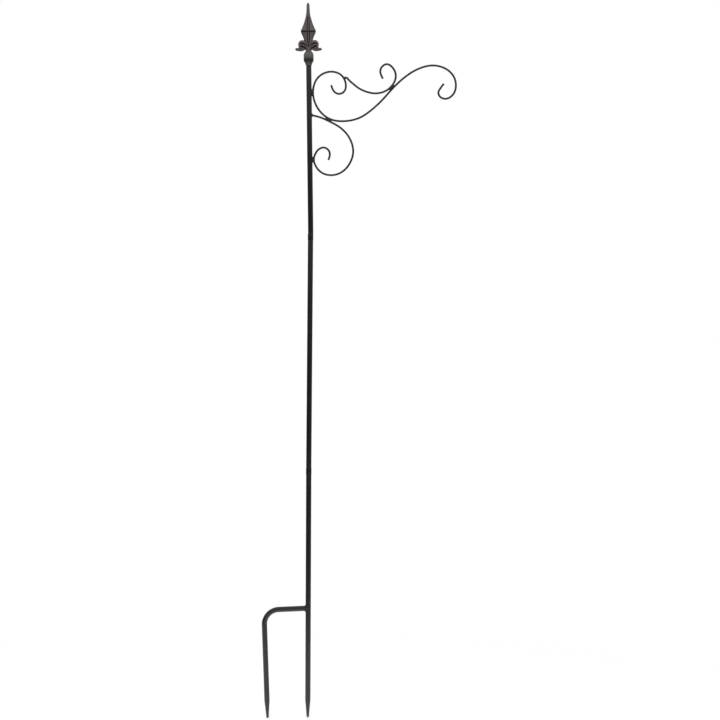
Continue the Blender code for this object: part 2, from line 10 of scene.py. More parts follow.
import bpy
import numpy as np
from mathutils import Matrix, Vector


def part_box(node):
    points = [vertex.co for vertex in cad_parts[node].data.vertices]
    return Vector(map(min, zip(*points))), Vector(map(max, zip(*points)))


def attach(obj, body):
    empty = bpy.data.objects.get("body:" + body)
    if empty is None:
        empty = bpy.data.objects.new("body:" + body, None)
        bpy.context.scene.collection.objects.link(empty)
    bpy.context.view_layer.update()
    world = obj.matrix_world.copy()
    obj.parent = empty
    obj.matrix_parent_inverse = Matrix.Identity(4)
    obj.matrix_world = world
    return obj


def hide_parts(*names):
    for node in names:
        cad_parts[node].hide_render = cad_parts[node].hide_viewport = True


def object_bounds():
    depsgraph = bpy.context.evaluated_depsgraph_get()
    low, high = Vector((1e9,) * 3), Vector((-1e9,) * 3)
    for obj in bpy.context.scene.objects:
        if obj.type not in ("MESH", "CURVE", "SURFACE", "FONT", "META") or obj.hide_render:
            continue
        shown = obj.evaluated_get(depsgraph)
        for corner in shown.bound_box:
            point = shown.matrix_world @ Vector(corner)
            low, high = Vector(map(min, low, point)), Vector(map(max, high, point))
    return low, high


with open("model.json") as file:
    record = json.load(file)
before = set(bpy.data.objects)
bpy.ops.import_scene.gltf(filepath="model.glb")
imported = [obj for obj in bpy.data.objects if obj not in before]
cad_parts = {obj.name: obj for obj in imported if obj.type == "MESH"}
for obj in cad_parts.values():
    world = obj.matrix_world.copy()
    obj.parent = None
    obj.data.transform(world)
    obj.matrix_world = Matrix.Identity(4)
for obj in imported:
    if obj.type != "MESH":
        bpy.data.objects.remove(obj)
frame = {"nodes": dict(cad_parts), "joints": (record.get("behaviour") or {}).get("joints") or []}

bl_info = {
    "name": "Garden Lantern Hook",
    "version": (1, 0, 0),
    "blender": (4, 5, 0),
    "location": "View3D > Sidebar > Lantern Hook",
    "description": "Builds the fine surfaces and finishes of a three-section lantern hook",
    "category": "Add Mesh",
}

CAD_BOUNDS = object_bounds()
MM = 0.001

# The photograph: its side, the size of a pixel, the origin's place in it and its roll. Then the
# camera: its distance, how far it sees, and its sensor's width in millimetres
PHOTO_SIDE = 720
PIXEL = 2.988 * MM
ORIGIN_PIXEL = (308.196, 611.0)
ROLL = math.radians(0.229)
CAMERA_DISTANCE = 5.0
CAMERA_REACH = 100.0
SENSOR_WIDTH = 36.0

# Tubes and couplers: sizes that the finer surfaces need and that the frame's boxes don't give
LIP_ROUNDING = 0.35 * MM
POINT_LENGTH = 52.0 * MM
POINT_DIAMETER = 7.0 * MM
POINT_ROUNDING = 2.2 * MM
POINT_SHOULDER = 90.0 * MM
END_RING = 0.4 * MM
COLLAR_LENGTH = 21.5 * MM
COLLAR_STEP = 0.4 * MM
COLLAR_ROUNDING = 0.7 * MM
SPIGOT_RADIUS = 6.26 * MM
SPIGOT_CHAMFER = 1.5 * MM
SPIGOT_END_ROUNDING = 0.3 * MM
CHAMFER_ROUNDING = 0.5 * MM
ROOT_ROUNDING = 0.2 * MM
RUB_FADE = 2.0 * MM

# Side prong: the shoulder is a share of the point, added above it. The bar's first plain ring lies
# outside the pole, at a share of the pole's radius
PRONG_REACH = 132.5 * MM
PRONG_LENGTH = 322.0 * MM
PRONG_BEND = 44.0 * MM
PRONG_TURN = math.radians(89.4)
PRONG_TILT = math.radians(2.8)
STEP_BAR_HEIGHT = 8.5 * MM
BEND_FLATTENING = 0.25 * MM
TIP_CLOSING = 0.9 * MM
SHOULDER_SHARE = 0.12
BAR_START_SHARE = 1.8

# Arm and its welds. Waves along a bead are (height, length, offset), their heights and the drops'
# swells shares of its size. A fillet's half size and its two depths under the corner are shares of
# its leg, and its breadth is a share of its half size
ARM_REACH = 442.0 * MM
HOOK_DROP = 102.6 * MM
ROD_END_ROUNDING = 1.5 * MM
WELD_ROOT = 0.9 * MM
ACCENT_END_GAP = 1.6 * MM
BEAD_SPAN = 9.4 * MM
BEAD_DEPTH = 8.6 * MM
BEAD_LENGTH = 22.0 * MM
CURL_BEAD_LENGTH = 18.0 * MM
END_BEAD_LENGTH = 9.0 * MM
END_BEAD_SPAN = 7.74 * MM
RIPPLE_PITCH = 2.1 * MM
FILLET_LEG = 3.3 * MM
FILLET_SIZE_SHARE = 0.8
FILLET_BREADTH_SHARE = 1.12
FILLET_SINK_SHARES = (0.05, 0.52)
FILLET_DROP_SHARE = 0.09
FILLET_WAVES = ((0.07, 7.0 * MM, 0.0), (0.05, 2.9 * MM, 1.3))
BEAD_DROP_SHARE = 0.07
BEAD_WAVES = ((0.05, 2.3 * MM, 0.7),)
BEAD_POWER = 2.2

# Finishes: how far the gloss wanders, the spacing of a coupler's rubbed marks round it and their
# length along it, and the tints of the casting's crests, rubbed thin and with a painted highlight,
# and of its hollows, with painted shade, as shares of its colour
GLOSS_WANDER = 0.05
MARK_SPACING = 0.6 * MM
MARK_LENGTH = 40.0 * MM
CREST_RUB_AND_HIGHLIGHT_TINT = 1.5
HOLLOW_SHADE_TINT = 0.08

# The stage: the floor's half width, its lift towards white and where it fades to white, and the
# room's diffuse level
FLOOR_GAP = 0.2 * MM
FLOOR_HALF = 1.9
FLOOR_LIFT = 0.20
FLOOR_FADE = (0.8, 1.8)
ROOM_LIGHT = 0.5

# The room in reflections. For each axis of a ray's direction: where the light on that side starts
# and where it is full, and its levels there. Y is the backdrop, Z the ceiling, X the right wall
ROOM_SIDES = {"Y": (0.35, 0.9, 0.03, 1.0), "Z": (0.04, 0.32, 0.0, 0.6), "X": (-0.1, 0.8, 0.0, 0.15)}

# Lamps: place, width, height and power. All face one place on the pole
LAMPS = {
    "high_front_lamp": ((0.0, -2.5, 3.3), 2.4, 1.2, 76.0),
    "side_lamp": ((2.8, -0.4, 2.6), 1.2, 1.6, 14.0),
    "back_lamp": ((-1.8, 2.4, 2.8), 1.4, 1.2, 34.0),
}
LAMP_TARGET = (0.1, 0.0, 0.8)

# Where the first and last rings lie, so that no ring shrinks to a point: angles from the ends where
# a cosine or sine spaces the rings, otherwise shares. A rod's is the root of its rounding's share
BEAD_END_ANGLE = 0.09
WEB_END_ANGLE = 0.04
ROD_END_SHARE = 0.08
RIDGE_END_SHARE = 0.012
KNOT_END_SHARE = 0.01

# How finely surfaces are divided, and how often the search for a scroll's place halves its step
TUBE_COLUMNS = 96
ROD_COLUMNS = 40
BEAD_COLUMNS = 48
SPEAR_COLUMNS = 160
WEB_COLUMNS = 120
ARC_STEPS = 6
BAR_STEPS = 24
BEND_STEPS = 34
LEG_STEPS = 30
TAPER_STEPS = 26
TIP_STEPS = 8
ROD_END_STEPS = 9
BEAD_STEPS = 72
JOINT_STEPS = 24
SPEAR_STEPS = 240
BALL_STEPS = 160
RIDGE_STEPS = 90
WEB_STEPS = 40
KNOT_STEPS = 30
LINE_STEPS = 36
DENSE_STEPS = 900
HALVINGS = 24
ROD_TURN_PER_STEP = math.radians(4.0)
ROD_LONGEST_STEP = 6.0 * MM
FINIAL_VOXEL = 0.55 * MM

# Points of each scroll's centreline: shares of the arm's span, across from the line on which the
# curls meet the pole and up from the height at which the hook scroll meets it
HOOK_SHARES = [
    (0.1275, 0.0405), (0.147, -0.004), (0.182, -0.022), (0.220, -0.002), (0.230, 0.039),
    (0.203, 0.105), (0.128, 0.134), (0.036, 0.094), (0.000, 0.000), (0.034, -0.124),
    (0.116, -0.197), (0.220, -0.213), (0.323, -0.191), (0.411, -0.134), (0.477, -0.075),
    (0.548, 0.002), (0.624, 0.074), (0.681, 0.116), (0.740, 0.147), (0.840, 0.169),
    (0.935, 0.142), (0.987, 0.087), (1.000, 0.029), (0.982, -0.032), (0.922, -0.065),
    (0.885, -0.046), (0.877, -0.020), (0.890, 0.007), (0.916, 0.041),
]
ACCENT_SHARES = [
    (0.219, 0.095), (0.229, 0.096), (0.237, 0.091), (0.249, 0.077), (0.270, 0.057),
    (0.299, 0.032), (0.333, 0.0085), (0.370, -0.008), (0.438, -0.021), (0.511, -0.003),
    (0.552, 0.031), (0.580, 0.094), (0.562, 0.153), (0.514, 0.182), (0.474, 0.145),
    (0.490, 0.080),
]
BRACKET_SHARES = [
    (-0.040, -0.163), (0.049, -0.185), (0.117, -0.216), (0.186, -0.257), (0.239, -0.312),
    (0.272, -0.388), (0.276, -0.423), (0.256, -0.499), (0.199, -0.566), (0.123, -0.590),
    (0.052, -0.570), (0.009, -0.517), (0.000, -0.480), (0.011, -0.439), (0.034, -0.409),
    (0.068, -0.396), (0.099, -0.410), (0.112, -0.437), (0.101, -0.484),
]
BENT_START_SHARE = 0.33

# Finial: sizes, then outlines. The ball's are shares of its swell and of the finial's height, the
# stem's are shares of its radius and of that height, and the spear's are shares of that height and
# of its half width and half depth. A blur's weights soften the corners of the spear's outline
FINIAL_HEIGHT = 187.7 * MM
FINIAL_SPREAD = 80.0 * MM
SPEAR_WIDTH = 46.5 * MM
SPEAR_DEPTH = 25.0 * MM
BALL_SWELL = 6.4 * MM
STEM_DIAMETER = 19.1 * MM
LEAF_THICKNESS = 8.6 * MM
LEAF_BREADTH = 15.0 * MM
SOCKET_RIM = 8.8 * MM
SOCKET_DEPTH = 26.4 * MM
SOCKET_PLAY = 0.05 * MM
BALL_SHARES = [
    (0.07, 0.000), (0.18, 0.022), (0.50, 0.046), (0.82, 0.066), (0.97, 0.080), (0.98, 0.092),
    (0.98, 0.120), (0.98, 0.150), (0.92, 0.176), (0.74, 0.194), (0.42, 0.210),
]
STEM_SHARES = [(1.00, 0.220), (0.98, 0.260), (0.85, 0.299), (0.50, 0.339), (0.20, 0.352)]
SPEAR_SHARES = [
    (0.250, 0.20, 0.50), (0.269, 0.40, 0.74), (0.325, 0.46, 0.76), (0.373, 0.53, 0.78),
    (0.412, 0.59, 0.79), (0.431, 0.63, 0.795), (0.447, 0.69, 0.80), (0.463, 0.725, 0.80),
    (0.479, 0.79, 0.805), (0.495, 0.84, 0.81), (0.510, 0.91, 0.82), (0.520, 0.96, 0.84),
    (0.530, 0.99, 0.91), (0.542, 1.00, 1.00), (0.553, 0.98, 1.05), (0.561, 0.955, 1.04),
    (0.574, 0.90, 0.97), (0.590, 0.835, 0.91), (0.606, 0.785, 0.87), (0.628, 0.705, 0.81),
    (0.654, 0.62, 0.74), (0.691, 0.515, 0.66), (0.733, 0.42, 0.58), (0.765, 0.35, 0.52),
    (0.797, 0.285, 0.47), (0.829, 0.25, 0.435), (0.861, 0.23, 0.41), (0.908, 0.205, 0.38),
    (0.946, 0.195, 0.36), (0.970, 0.185, 0.33), (0.985, 0.155, 0.27), (0.994, 0.105, 0.17),
    (0.998, 0.030, 0.05),
]
SPEAR_SQUARENESS = 2.4
SPEAR_BLUR = np.array([1, 2, 3, 2, 1]) / 9

# Centrelines of a leaf's curled rim and of its lower lip: shares of half the spread, of the height,
# of the leaf's thickness and of its breadth
RIM_SHARES = [
    (0.19, 0.317, 0.85, 0.90), (0.30, 0.363, 0.90, 1.00), (0.43, 0.381, 0.97, 1.00),
    (0.575, 0.374, 1.00, 1.00), (0.664, 0.347, 0.97, 0.97), (0.664, 0.315, 0.90, 0.92),
    (0.649, 0.290, 0.87, 0.88), (0.73, 0.260, 0.95, 0.84), (0.86, 0.256, 1.00, 0.74),
    (0.965, 0.270, 0.85, 0.58),
]
LIP_SHARES = [
    (0.800, 0.247, 0.52, 0.60), (0.716, 0.245, 0.63, 0.70), (0.597, 0.242, 0.65, 0.75),
    (0.448, 0.247, 0.65, 0.80), (0.313, 0.260, 0.65, 0.80), (0.209, 0.293, 0.62, 0.80),
]
RIDGE_SQUARENESS = 2.8
RIDGE_POWER = 8.0

# Outline of the thinner metal inside a leaf's curl, its middle, its depth as a share of the leaf's
# breadth, and the power by which its rings crowd towards the outline; then the place, half width,
# half height and depth of the knot that stands on it
WEB_SHARES = [
    (0.00, 0.262), (0.239, 0.272), (0.448, 0.254), (0.612, 0.247), (0.70, 0.262), (0.657, 0.293),
    (0.664, 0.325), (0.642, 0.354), (0.522, 0.376), (0.373, 0.376), (0.187, 0.373), (0.00, 0.373),
]
WEB_MIDDLE_SHARES = (0.36, 0.315)
WEB_DEPTH_SHARE = 0.60
WEB_CROWDING = 0.7
KNOT_SHARES = (0.415, 0.3185, 0.21, 0.0165, 0.46)

# Carved lines of the finial, on one side of its middle: points as shares of half the spread and of
# the height, the line's half width and its depth in millimetres, then its tone: painted shade from
# 1, fully dark, down to 0, and a painted highlight below 0, fully pale at -1
RIB_SHARES = [(0.062, 0.760), (0.074, 0.69), (0.078, 0.58), (0.076, 0.42), (0.045, 0.35), (0.0, 0.292)]
VEIN_SHARES = [(0.60, 0.343), (0.50, 0.346), (0.37, 0.346), (0.26, 0.332), (0.155, 0.314), (0.08, 0.286)]
CARVED_LINES = {
    "rib groove": (RIB_SHARES, 1.6, 1.8, 0.85),
    "rib field": ([(0.0, 0.755), (0.0, 0.36)], 3.8, 0.4, 0.50),
    # Painted shade along the shallow cut under the rim
    "rim undercut": ([(0.0, 0.532), (0.62, 0.532)], 2.4, 0.8, 1.0),
    # A painted highlight along the leaf's crest, with no cut
    "leaf crest highlight": ([(0.66, 0.355), (0.57, 0.374), (0.43, 0.380), (0.32, 0.372)], 3.0, 0.0, -0.9),
    "leaf vein": (VEIN_SHARES, 1.2, 1.5, 0.85),
    "curl hollow": ([(0.54, 0.299), (0.46, 0.295), (0.36, 0.286), (0.25, 0.272)], 2.2, 2.1, 0.85),
    # Painted shade along the lip's underside, with no cut
    "lip shade": ([(0.90, 0.243), (0.60, 0.234), (0.40, 0.240), (0.20, 0.258)], 2.0, 0.0, 0.7),
    "low notch": ([(0.36, 0.430), (0.45, 0.462)], 1.1, 1.0, 0.6),
    "high notch": ([(0.42, 0.480), (0.56, 0.508)], 1.1, 1.0, 0.8),
    "first feather": ([(0.32, 0.625), (0.47, 0.601)], 0.8, 0.5, 0.4),
    "second feather": ([(0.25, 0.675), (0.37, 0.652)], 0.8, 0.5, 0.4),
    "third feather": ([(0.19, 0.725), (0.29, 0.704)], 0.8, 0.4, 0.3),
    "tip collar": ([(0.0, 0.783), (0.25, 0.783)], 0.9, 0.45, 0.5),
    # Painted shade under the ball, with no cut
    "socket shade": ([(0.0, 0.076), (0.40, 0.076)], 7.6, 0.0, 1.0),
}

# Lines that run all round, how far a point must face the front or back before the others reach it
# and reach it fully, and how far metal stands below or above its smoothed form to count as a hollow,
# which gets painted shade, or as a crest, which gets a rubbed coat and a painted highlight. Rounds of
# smoothing take off the small squares and give the smoothed form. The socket's coat ends at a share
# of the height, fading over a length
ROUND_LINES = ("rim undercut", "tip collar", "socket shade", "lip shade")
FACING_SHARES = (0.12, 0.42)
HOLLOW_DEPTH = 0.3 * MM
CREST_HEIGHT = 0.4 * MM
CREST_START = 0.1
SQUARES_ROUNDS = 4
FORM_ROUNDS = 14
SOCKET_TOP_SHARE = 0.225
SOCKET_FADE = 5.0 * MM


def linear(channel):
    """One sRGB channel, 0 to 1, as linear light."""
    if channel <= 0.04045:
        return channel / 12.92
    return ((channel + 0.055) / 1.055) ** 2.4


def colour(code):
    """A six-figure sRGB hex colour as linear red, green and blue."""
    return tuple(linear(int(code[at : at + 2], 16) / 255) for at in (0, 2, 4))


def unit(vectors):
    """Each vector over its length."""
    return vectors / np.linalg.norm(vectors, axis=-1, keepdims=True)


def read_points(collection, name="co"):
    """One vector for each item of a mesh's collection."""
    values = np.empty(len(collection) * 3)
    collection.foreach_get(name, values)
    return values.reshape(-1, 3)


# Section frames, from the model's joints
class Section:
    """A section's frame: a point on its axis, and its directions towards the arm and up its tube."""

    def __init__(self, seat=(0, 0, 0), axis=(0, 0, 1), foot_of=None):
        self.up = np.asarray(axis, float)
        self.out = np.array([self.up[2], 0.0, -self.up[0]])
        self.foot = np.asarray(seat, float)
        if foot_of:
            self.foot = self.foot + self.up * self.span(foot_of)[0]

    def span(self, node):
        """How far along the axis a node begins and ends."""
        along = (read_points(frame["nodes"][node].data.vertices) - self.foot) @ self.up
        return along.min(), along.max()

    def place(self, points):
        """Points of the section's frame as points of the model."""
        points = np.asarray(points, float)
        across = points[..., :1] * self.out
        deep = points[..., 1:2] * np.array([0.0, 1.0, 0.0])
        return self.foot + across + deep + points[..., 2:] * self.up


def turned_about(joint, foot_of):
    """The frame of the section that a joint turns, with its foot at a node's lower end."""
    found = next(j for j in frame["joints"] if j["name"] == joint)
    return Section(found["pos_m"], found["axis"], foot_of)


STAKE = Section()
MIDDLE = turned_about("middle_turn", "middle_pole")
UPPER = turned_about("upper_turn", "upper_pole")
FINIAL = turned_about("upper_turn", "finial")


# Meshes
def mesh_object(name, points, faces):
    """A smooth mesh object from whole arrays."""
    mesh = bpy.data.meshes.new(name)
    mesh.from_pydata(points.tolist(), [], faces)
    mesh.update()
    mesh.shade_smooth()
    obj = bpy.data.objects.new(name, mesh)
    bpy.context.scene.collection.objects.link(obj)
    return obj


def closed_grid(grid, looped=False, first=0):
    """Points and faces of a grid, rows by columns by 3, whose columns close on themselves, and
    whether the faces look inwards. The last row joins the first where the grid is looped; otherwise
    a fan closes each end row about its middle. Six times the volume is the sum, over triangles, of
    their corners' triple products: it is negative where the faces look inwards."""
    rows, columns = grid.shape[:2]
    points = grid.reshape(-1, 3)
    index = np.arange(rows * columns).reshape(rows, columns)
    low = index if looped else index[:-1]
    high = np.roll(index, -1, axis=0) if looped else index[1:]
    quads = np.stack([low, np.roll(low, -1, 1), np.roll(high, -1, 1), high], axis=-1).reshape(-1, 4)
    fans = np.empty((0, 3), int)
    if not looped:
        tip = np.full(columns, len(points))
        foot = np.stack([np.roll(index[0], -1), index[0], tip], axis=-1)
        head = np.stack([index[-1], np.roll(index[-1], -1), tip + 1], axis=-1)
        fans = np.vstack([foot, head])
        points = np.vstack([points, grid[0].mean(axis=0), grid[-1].mean(axis=0)])
    a, b, c = points[np.vstack([quads[:, :3], quads[:, [0, 2, 3]], fans])].transpose(1, 0, 2)
    faces = (quads + first).tolist() + (fans + first).tolist()
    return points, faces, (a * np.cross(b, c)).sum() < 0


def skin(name, grid, looped=False):
    """An object whose surface is one grid."""
    points, faces, inwards = closed_grid(grid, looped)
    made = mesh_object(name, points, faces)
    if inwards:
        made.data.flip_normals()
    return made


def join_grids(name, grids):
    """One object of several closed grids that pass through each other."""
    points, faces, first = [], [], 0
    for grid in grids:
        more_points, more_faces, inwards = closed_grid(grid, first=first)
        points.append(more_points)
        faces += [face[::-1] for face in more_faces] if inwards else more_faces
        first += len(more_points)
    return mesh_object(name, np.vstack(points), faces)


def fitted(obj, coat, body, slot, *nodes):
    """Coats a piece and makes it ride on its body, in place of the nodes that it stands for."""
    obj.data.materials.append(coat)
    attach(obj, body)
    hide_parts(*nodes)


# Shapes
def eased(corners):
    """A profile of (radius, height, rounding) corners, each corner an arc of its own rounding: the
    arc touches both sides at the rounding over the tangent of half the corner's angle."""
    points = [corners[0][:2]]
    for before, (x, z, size), after in zip(corners, corners[1:], corners[2:]):
        here = np.array([x, z])
        back = unit(np.array(before[:2]) - here)
        ahead = unit(np.array(after[:2]) - here)
        half = math.acos(np.clip(back @ ahead, -1, 1)) / 2
        if size == 0:
            points.append(here)
            continue
        middle = here + unit(back + ahead) * size / math.sin(half)
        start = here + back * size / math.tan(half) - middle
        end = here + ahead * size / math.tan(half) - middle
        sweep = math.acos(np.clip(start @ end / size**2, -1, 1))
        share = np.linspace(0, 1, ARC_STEPS + 1)[:, None]
        arc = (np.sin((1 - share) * sweep) * start + np.sin(share * sweep) * end) / math.sin(sweep)
        points += list(middle + arc)
    points.append(corners[-1][:2])
    return np.array(points)


def ring(columns, squareness=2.0):
    """A superellipse of unit half widths: the cosine and sine of a turning angle, each to the power
    of two over the squareness. Two is a circle, and more is squarer."""
    angle = np.arange(columns) * math.tau / columns
    both = np.stack([np.cos(angle), np.sin(angle)])
    return np.sign(both) * np.abs(both) ** (2 / squareness)


def turned(profile):
    """A profile turned about the frame's Z: x and y are its radius times a ring's."""
    radius, height = np.asarray(profile, float).T
    x, y = radius[:, None] * ring(TUBE_COLUMNS)[:, None]
    return np.stack([x, y, np.broadcast_to(height[:, None], x.shape)], axis=-1)


def carried(path, thick, broad, columns=ROD_COLUMNS, squareness=2.0):
    """A ring carried along a path of the XZ plane, square to it: half sizes in that plane and along
    Y, one for each point of the path."""
    along = unit(np.gradient(path, axis=0))
    out, aside = ring(columns, squareness)
    across = np.asarray(thick)[:, None] * out
    deep = np.asarray(broad)[:, None] * aside
    x = path[:, :1] - along[:, 1:] * across
    z = path[:, 1:] + along[:, :1] * across
    return np.stack([x, deep, z], axis=-1)


def smooth_curve(points, steps=DENSE_STEPS):
    """A dense smooth curve through the points: the cubic spline with free ends, its knots at the
    lengths of the straight runs between the points."""
    points = np.asarray(points, float)
    gaps = np.linalg.norm(np.diff(points[:, :2], axis=0), axis=1)
    knots = np.r_[0.0, np.cumsum(gaps)]
    inner = np.arange(1, len(points) - 1)
    system = np.eye(len(points))
    system[inner, inner - 1] = gaps[:-1]
    system[inner, inner] = 2 * (gaps[:-1] + gaps[1:])
    system[inner, inner + 1] = gaps[1:]
    slopes = np.diff(points, axis=0) / gaps[:, None]
    bends = np.zeros_like(points)
    bends[1:-1] = 6 * np.diff(slopes, axis=0)
    second = np.linalg.solve(system, bends)
    places = np.linspace(0.0, knots[-1], steps)
    at = np.clip(np.searchsorted(knots, places) - 1, 0, len(points) - 2)
    gap = gaps[at][:, None]
    behind = (places - knots[at])[:, None]
    ahead = gap - behind
    return (
        (second[at] * ahead**3 + second[at + 1] * behind**3) / (6 * gap)
        + (points[at] / gap - second[at] * gap / 6) * ahead
        + (points[at + 1] / gap - second[at + 1] * gap / 6) * behind
    )


def resampled(curve, measure, wanted):
    """A curve's points at wanted values of a measure that grows along it."""
    return np.column_stack([np.interp(wanted, measure, curve[:, axis]) for axis in (0, 1)])


def spaced(curve):
    """A dense curve as fewer points: a step is as long as its turn or its length allows."""
    lengths = np.linalg.norm(np.diff(curve, axis=0), axis=1)
    along = np.diff(curve, axis=0) / lengths[:, None]
    cross = along[:-1, 0] * along[1:, 1] - along[:-1, 1] * along[1:, 0]
    turns = np.r_[0.0, np.abs(np.arcsin(np.clip(cross, -1.0, 1.0)))]
    effort = np.r_[0.0, np.cumsum(turns / ROD_TURN_PER_STEP + lengths / ROD_LONGEST_STEP)]
    return resampled(curve, effort, np.linspace(0.0, effort[-1], math.ceil(effort[-1]) + 1))


def superellipse(share, power):
    """Half width of a superellipse at a share of its length: the power's root of one less the power
    of the distance from the middle, which is 1 at both ends."""
    return np.clip(1 - np.abs(2 * share - 1) ** power, 0, 1) ** (1 / power)


def waved(place, waves):
    """One plus, for each wave, its height times the sine of its offset and the place over its length."""
    return 1 + sum(height * np.sin(place / length + offset) for height, length, offset in waves)


# Sizes that a user would change
def size(name, description, default):
    """A length property in metres."""
    return bpy.props.FloatProperty(
        name=name, description=description, default=default, min=0.0, precision=5, unit="LENGTH"
    )


def hue(name, description, code):
    """A colour property, its default an sRGB hex code turned linear."""
    return bpy.props.FloatVectorProperty(
        name=name, description=description, default=colour(code), min=0.0, max=1.0, subtype="COLOR"
    )


def half_width(node):
    """Half of a node's width along Y."""
    low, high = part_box(node)
    return (high.y - low.y) / 2


class HookSizes(bpy.types.PropertyGroup):
    """Sizes of the stock and of the finish's grain."""

    pole_radius: size("Pole radius", "Outer radius of the tube", round(half_width("upper_pole"), 4))
    pole_wall: size("Pole wall", "Thickness of the tube's wall", 1.2 * MM)
    rod_radius: size("Rod radius", "Radius of the scrolls' rod", round(half_width("hook_scroll"), 6))
    coat_grain: size("Coat grain", "Width of the powder coat's ripples", 2.4 * MM)
    cast_grain: size("Cast grain", "Width of the casting's pits", 1.3 * MM)


class HookColours(bpy.types.PropertyGroup):
    """Colours of the finishes."""

    tube: hue("Tube coat", "Satin black powder coat on the tubes", "171615")
    rod: hue("Rod coat", "Satin black powder coat on the scrolls", "22201F")
    weld: hue("Weld coat", "Coat over the welds", "262523")
    casting: hue("Casting coat", "Coat over the finial's spear and leaves", "4D4645")
    # The ball's coat, lighter than the tube's, stands in for its dome's broad sheen: a painted sheen
    socket: hue("Socket coat", "Coat over the finial's ball", "504E4A")
    steel: hue("Rubbed steel", "Bare steel where the couplers rub", "8E8B86")
    floor: hue("Floor", "Pale studio floor", "F6F6F5")


def sizes():
    """The scene's own sizes."""
    return bpy.context.scene.hook_sizes


def colours():
    """The scene's own colours."""
    return bpy.context.scene.hook_colours


# Finishes
def bare_tree(owner):
    """The node tree of a new material or world, emptied."""
    owner.use_nodes = True
    owner.node_tree.nodes.clear()
    return owner.node_tree


def node(tree, kind, inputs=(), **settings):
    """Adds a node with its own settings. Each input, by name or number, is joined to another node's
    output or holds a constant."""
    made = tree.nodes.new(kind)
    for key, value in settings.items():
        setattr(made, key, value)
    for key, value in dict(inputs).items():
        if isinstance(value, bpy.types.NodeSocket):
            tree.links.new(value, made.inputs[key])
        else:
            made.inputs[key].default_value = value
    return made


def shade(base, share):
    """A linear colour times a share, with full alpha."""
    return (*(channel * share for channel in base), 1.0)


def finish(name, base, grain, roughness, depth, mottle, spread, index=1.5):
    """A finish whose surface ripples by a depth at its grain. Over patches of the mottle's width, its
    colour wanders by the spread and its gloss a little. Returns its material, tree and shader."""
    made = bpy.data.materials.new(name)
    tree = bare_tree(made)
    place = node(tree, "ShaderNodeTexCoord").outputs["Object"]
    fine = node(tree, "ShaderNodeTexNoise", {"Vector": place, "Scale": 1 / grain, "Detail": 3.0})
    broad = node(tree, "ShaderNodeTexNoise", {"Vector": place, "Scale": 1 / mottle, "Detail": 4.0})
    wander = broad.outputs["Fac"]
    ends = {"Factor": wander, 6: shade(base, 1 - spread), 7: shade(base, 1 + spread)}
    tone = node(tree, "ShaderNodeMix", ends, data_type="RGBA")
    ends = {"Value": wander, "To Min": roughness - GLOSS_WANDER, "To Max": roughness + GLOSS_WANDER}
    gloss = node(tree, "ShaderNodeMapRange", ends)
    ripple = node(tree, "ShaderNodeBump", {"Height": fine.outputs["Fac"], "Distance": depth})
    parts = {
        "Base Color": tone.outputs[2],
        "Roughness": gloss.outputs["Result"],
        "Normal": ripple.outputs["Normal"],
        "IOR": index,
    }
    shader = node(tree, "ShaderNodeBsdfPrincipled", parts)
    node(tree, "ShaderNodeOutputMaterial", {"Surface": shader.outputs["BSDF"]})
    return made, tree, shader


def tube_coat():
    """Polyester powder coat sprayed and baked on drawn steel tube: satin black with a soft orange
    peel. Its ripples are about 1 mm wide, drawn wider so that they show in the render."""
    # To the eye: near black, with one soft grey sheen down the tube and no sharp mirror image
    look = {"roughness": 0.28, "depth": 0.012 * MM, "mottle": 16 * MM, "spread": 0.14, "index": 1.6}
    return finish("satin powder coat on tube", colours().tube, sizes().coat_grain, **look)[0]


def rod_coat():
    """The same coat on cold-bent rod, a little thinner and less even on the curls."""
    # To the eye: black a shade softer than the tube's, its thin highlight broken along the bends
    look = {"roughness": 0.32, "depth": 0.012 * MM, "mottle": 11 * MM, "spread": 0.18, "index": 1.6}
    return finish("satin powder coat on bent rod", colours().rod, sizes().coat_grain * 0.7, **look)[0]


def weld_coat():
    """The same coat over weld metal: matt, with the grit of spatter under it."""
    # To the eye: duller than the rods that they join, so that the joints read as small knots
    look = {"roughness": 0.42, "depth": 0.05 * MM, "mottle": 5 * MM, "spread": 0.3}
    return finish("coated weld bead", colours().weld, sizes().coat_grain * 0.5, **look)[0]


def coupler_coat():
    """Coated turned steel whose spigots have rubbed bare where the attribute says, in marks that
    run along the spigots."""
    # To the eye: a collar like the tube, and streaks of bright steel once the joint is pulled apart
    look = {"roughness": 0.28, "depth": 0.01 * MM, "mottle": 9 * MM, "spread": 0.14, "index": 1.6}
    made, tree, shader = finish("coated turned coupler", colours().tube, sizes().coat_grain, **look)
    place = node(tree, "ShaderNodeTexCoord").outputs["Object"]
    scale = (1 / MARK_SPACING, 1 / MARK_SPACING, 1 / MARK_LENGTH)
    marks = node(tree, "ShaderNodeMapping", {"Vector": place, "Scale": scale}).outputs["Vector"]
    scratch = node(tree, "ShaderNodeTexNoise", {"Vector": marks, "Scale": 1.0, "Detail": 3.0})
    ends = {"Value": scratch.outputs["Fac"], "From Min": 0.42, "From Max": 0.62}
    streak = node(tree, "ShaderNodeMapRange", ends).outputs["Result"]
    rub = node(tree, "ShaderNodeAttribute", attribute_name="rub").outputs["Fac"]
    rubbed = node(tree, "ShaderNodeMath", {0: streak, 1: rub}, operation="MULTIPLY").outputs[0]
    coat = shader.inputs["Base Color"].links[0].from_socket
    ends = {"Factor": rubbed, 6: coat, 7: shade(colours().steel, 1.0)}
    bare = node(tree, "ShaderNodeMix", ends, data_type="RGBA")
    tree.links.new(bare.outputs[2], shader.inputs["Base Color"])
    tree.links.new(rubbed, shader.inputs["Metallic"])
    return made


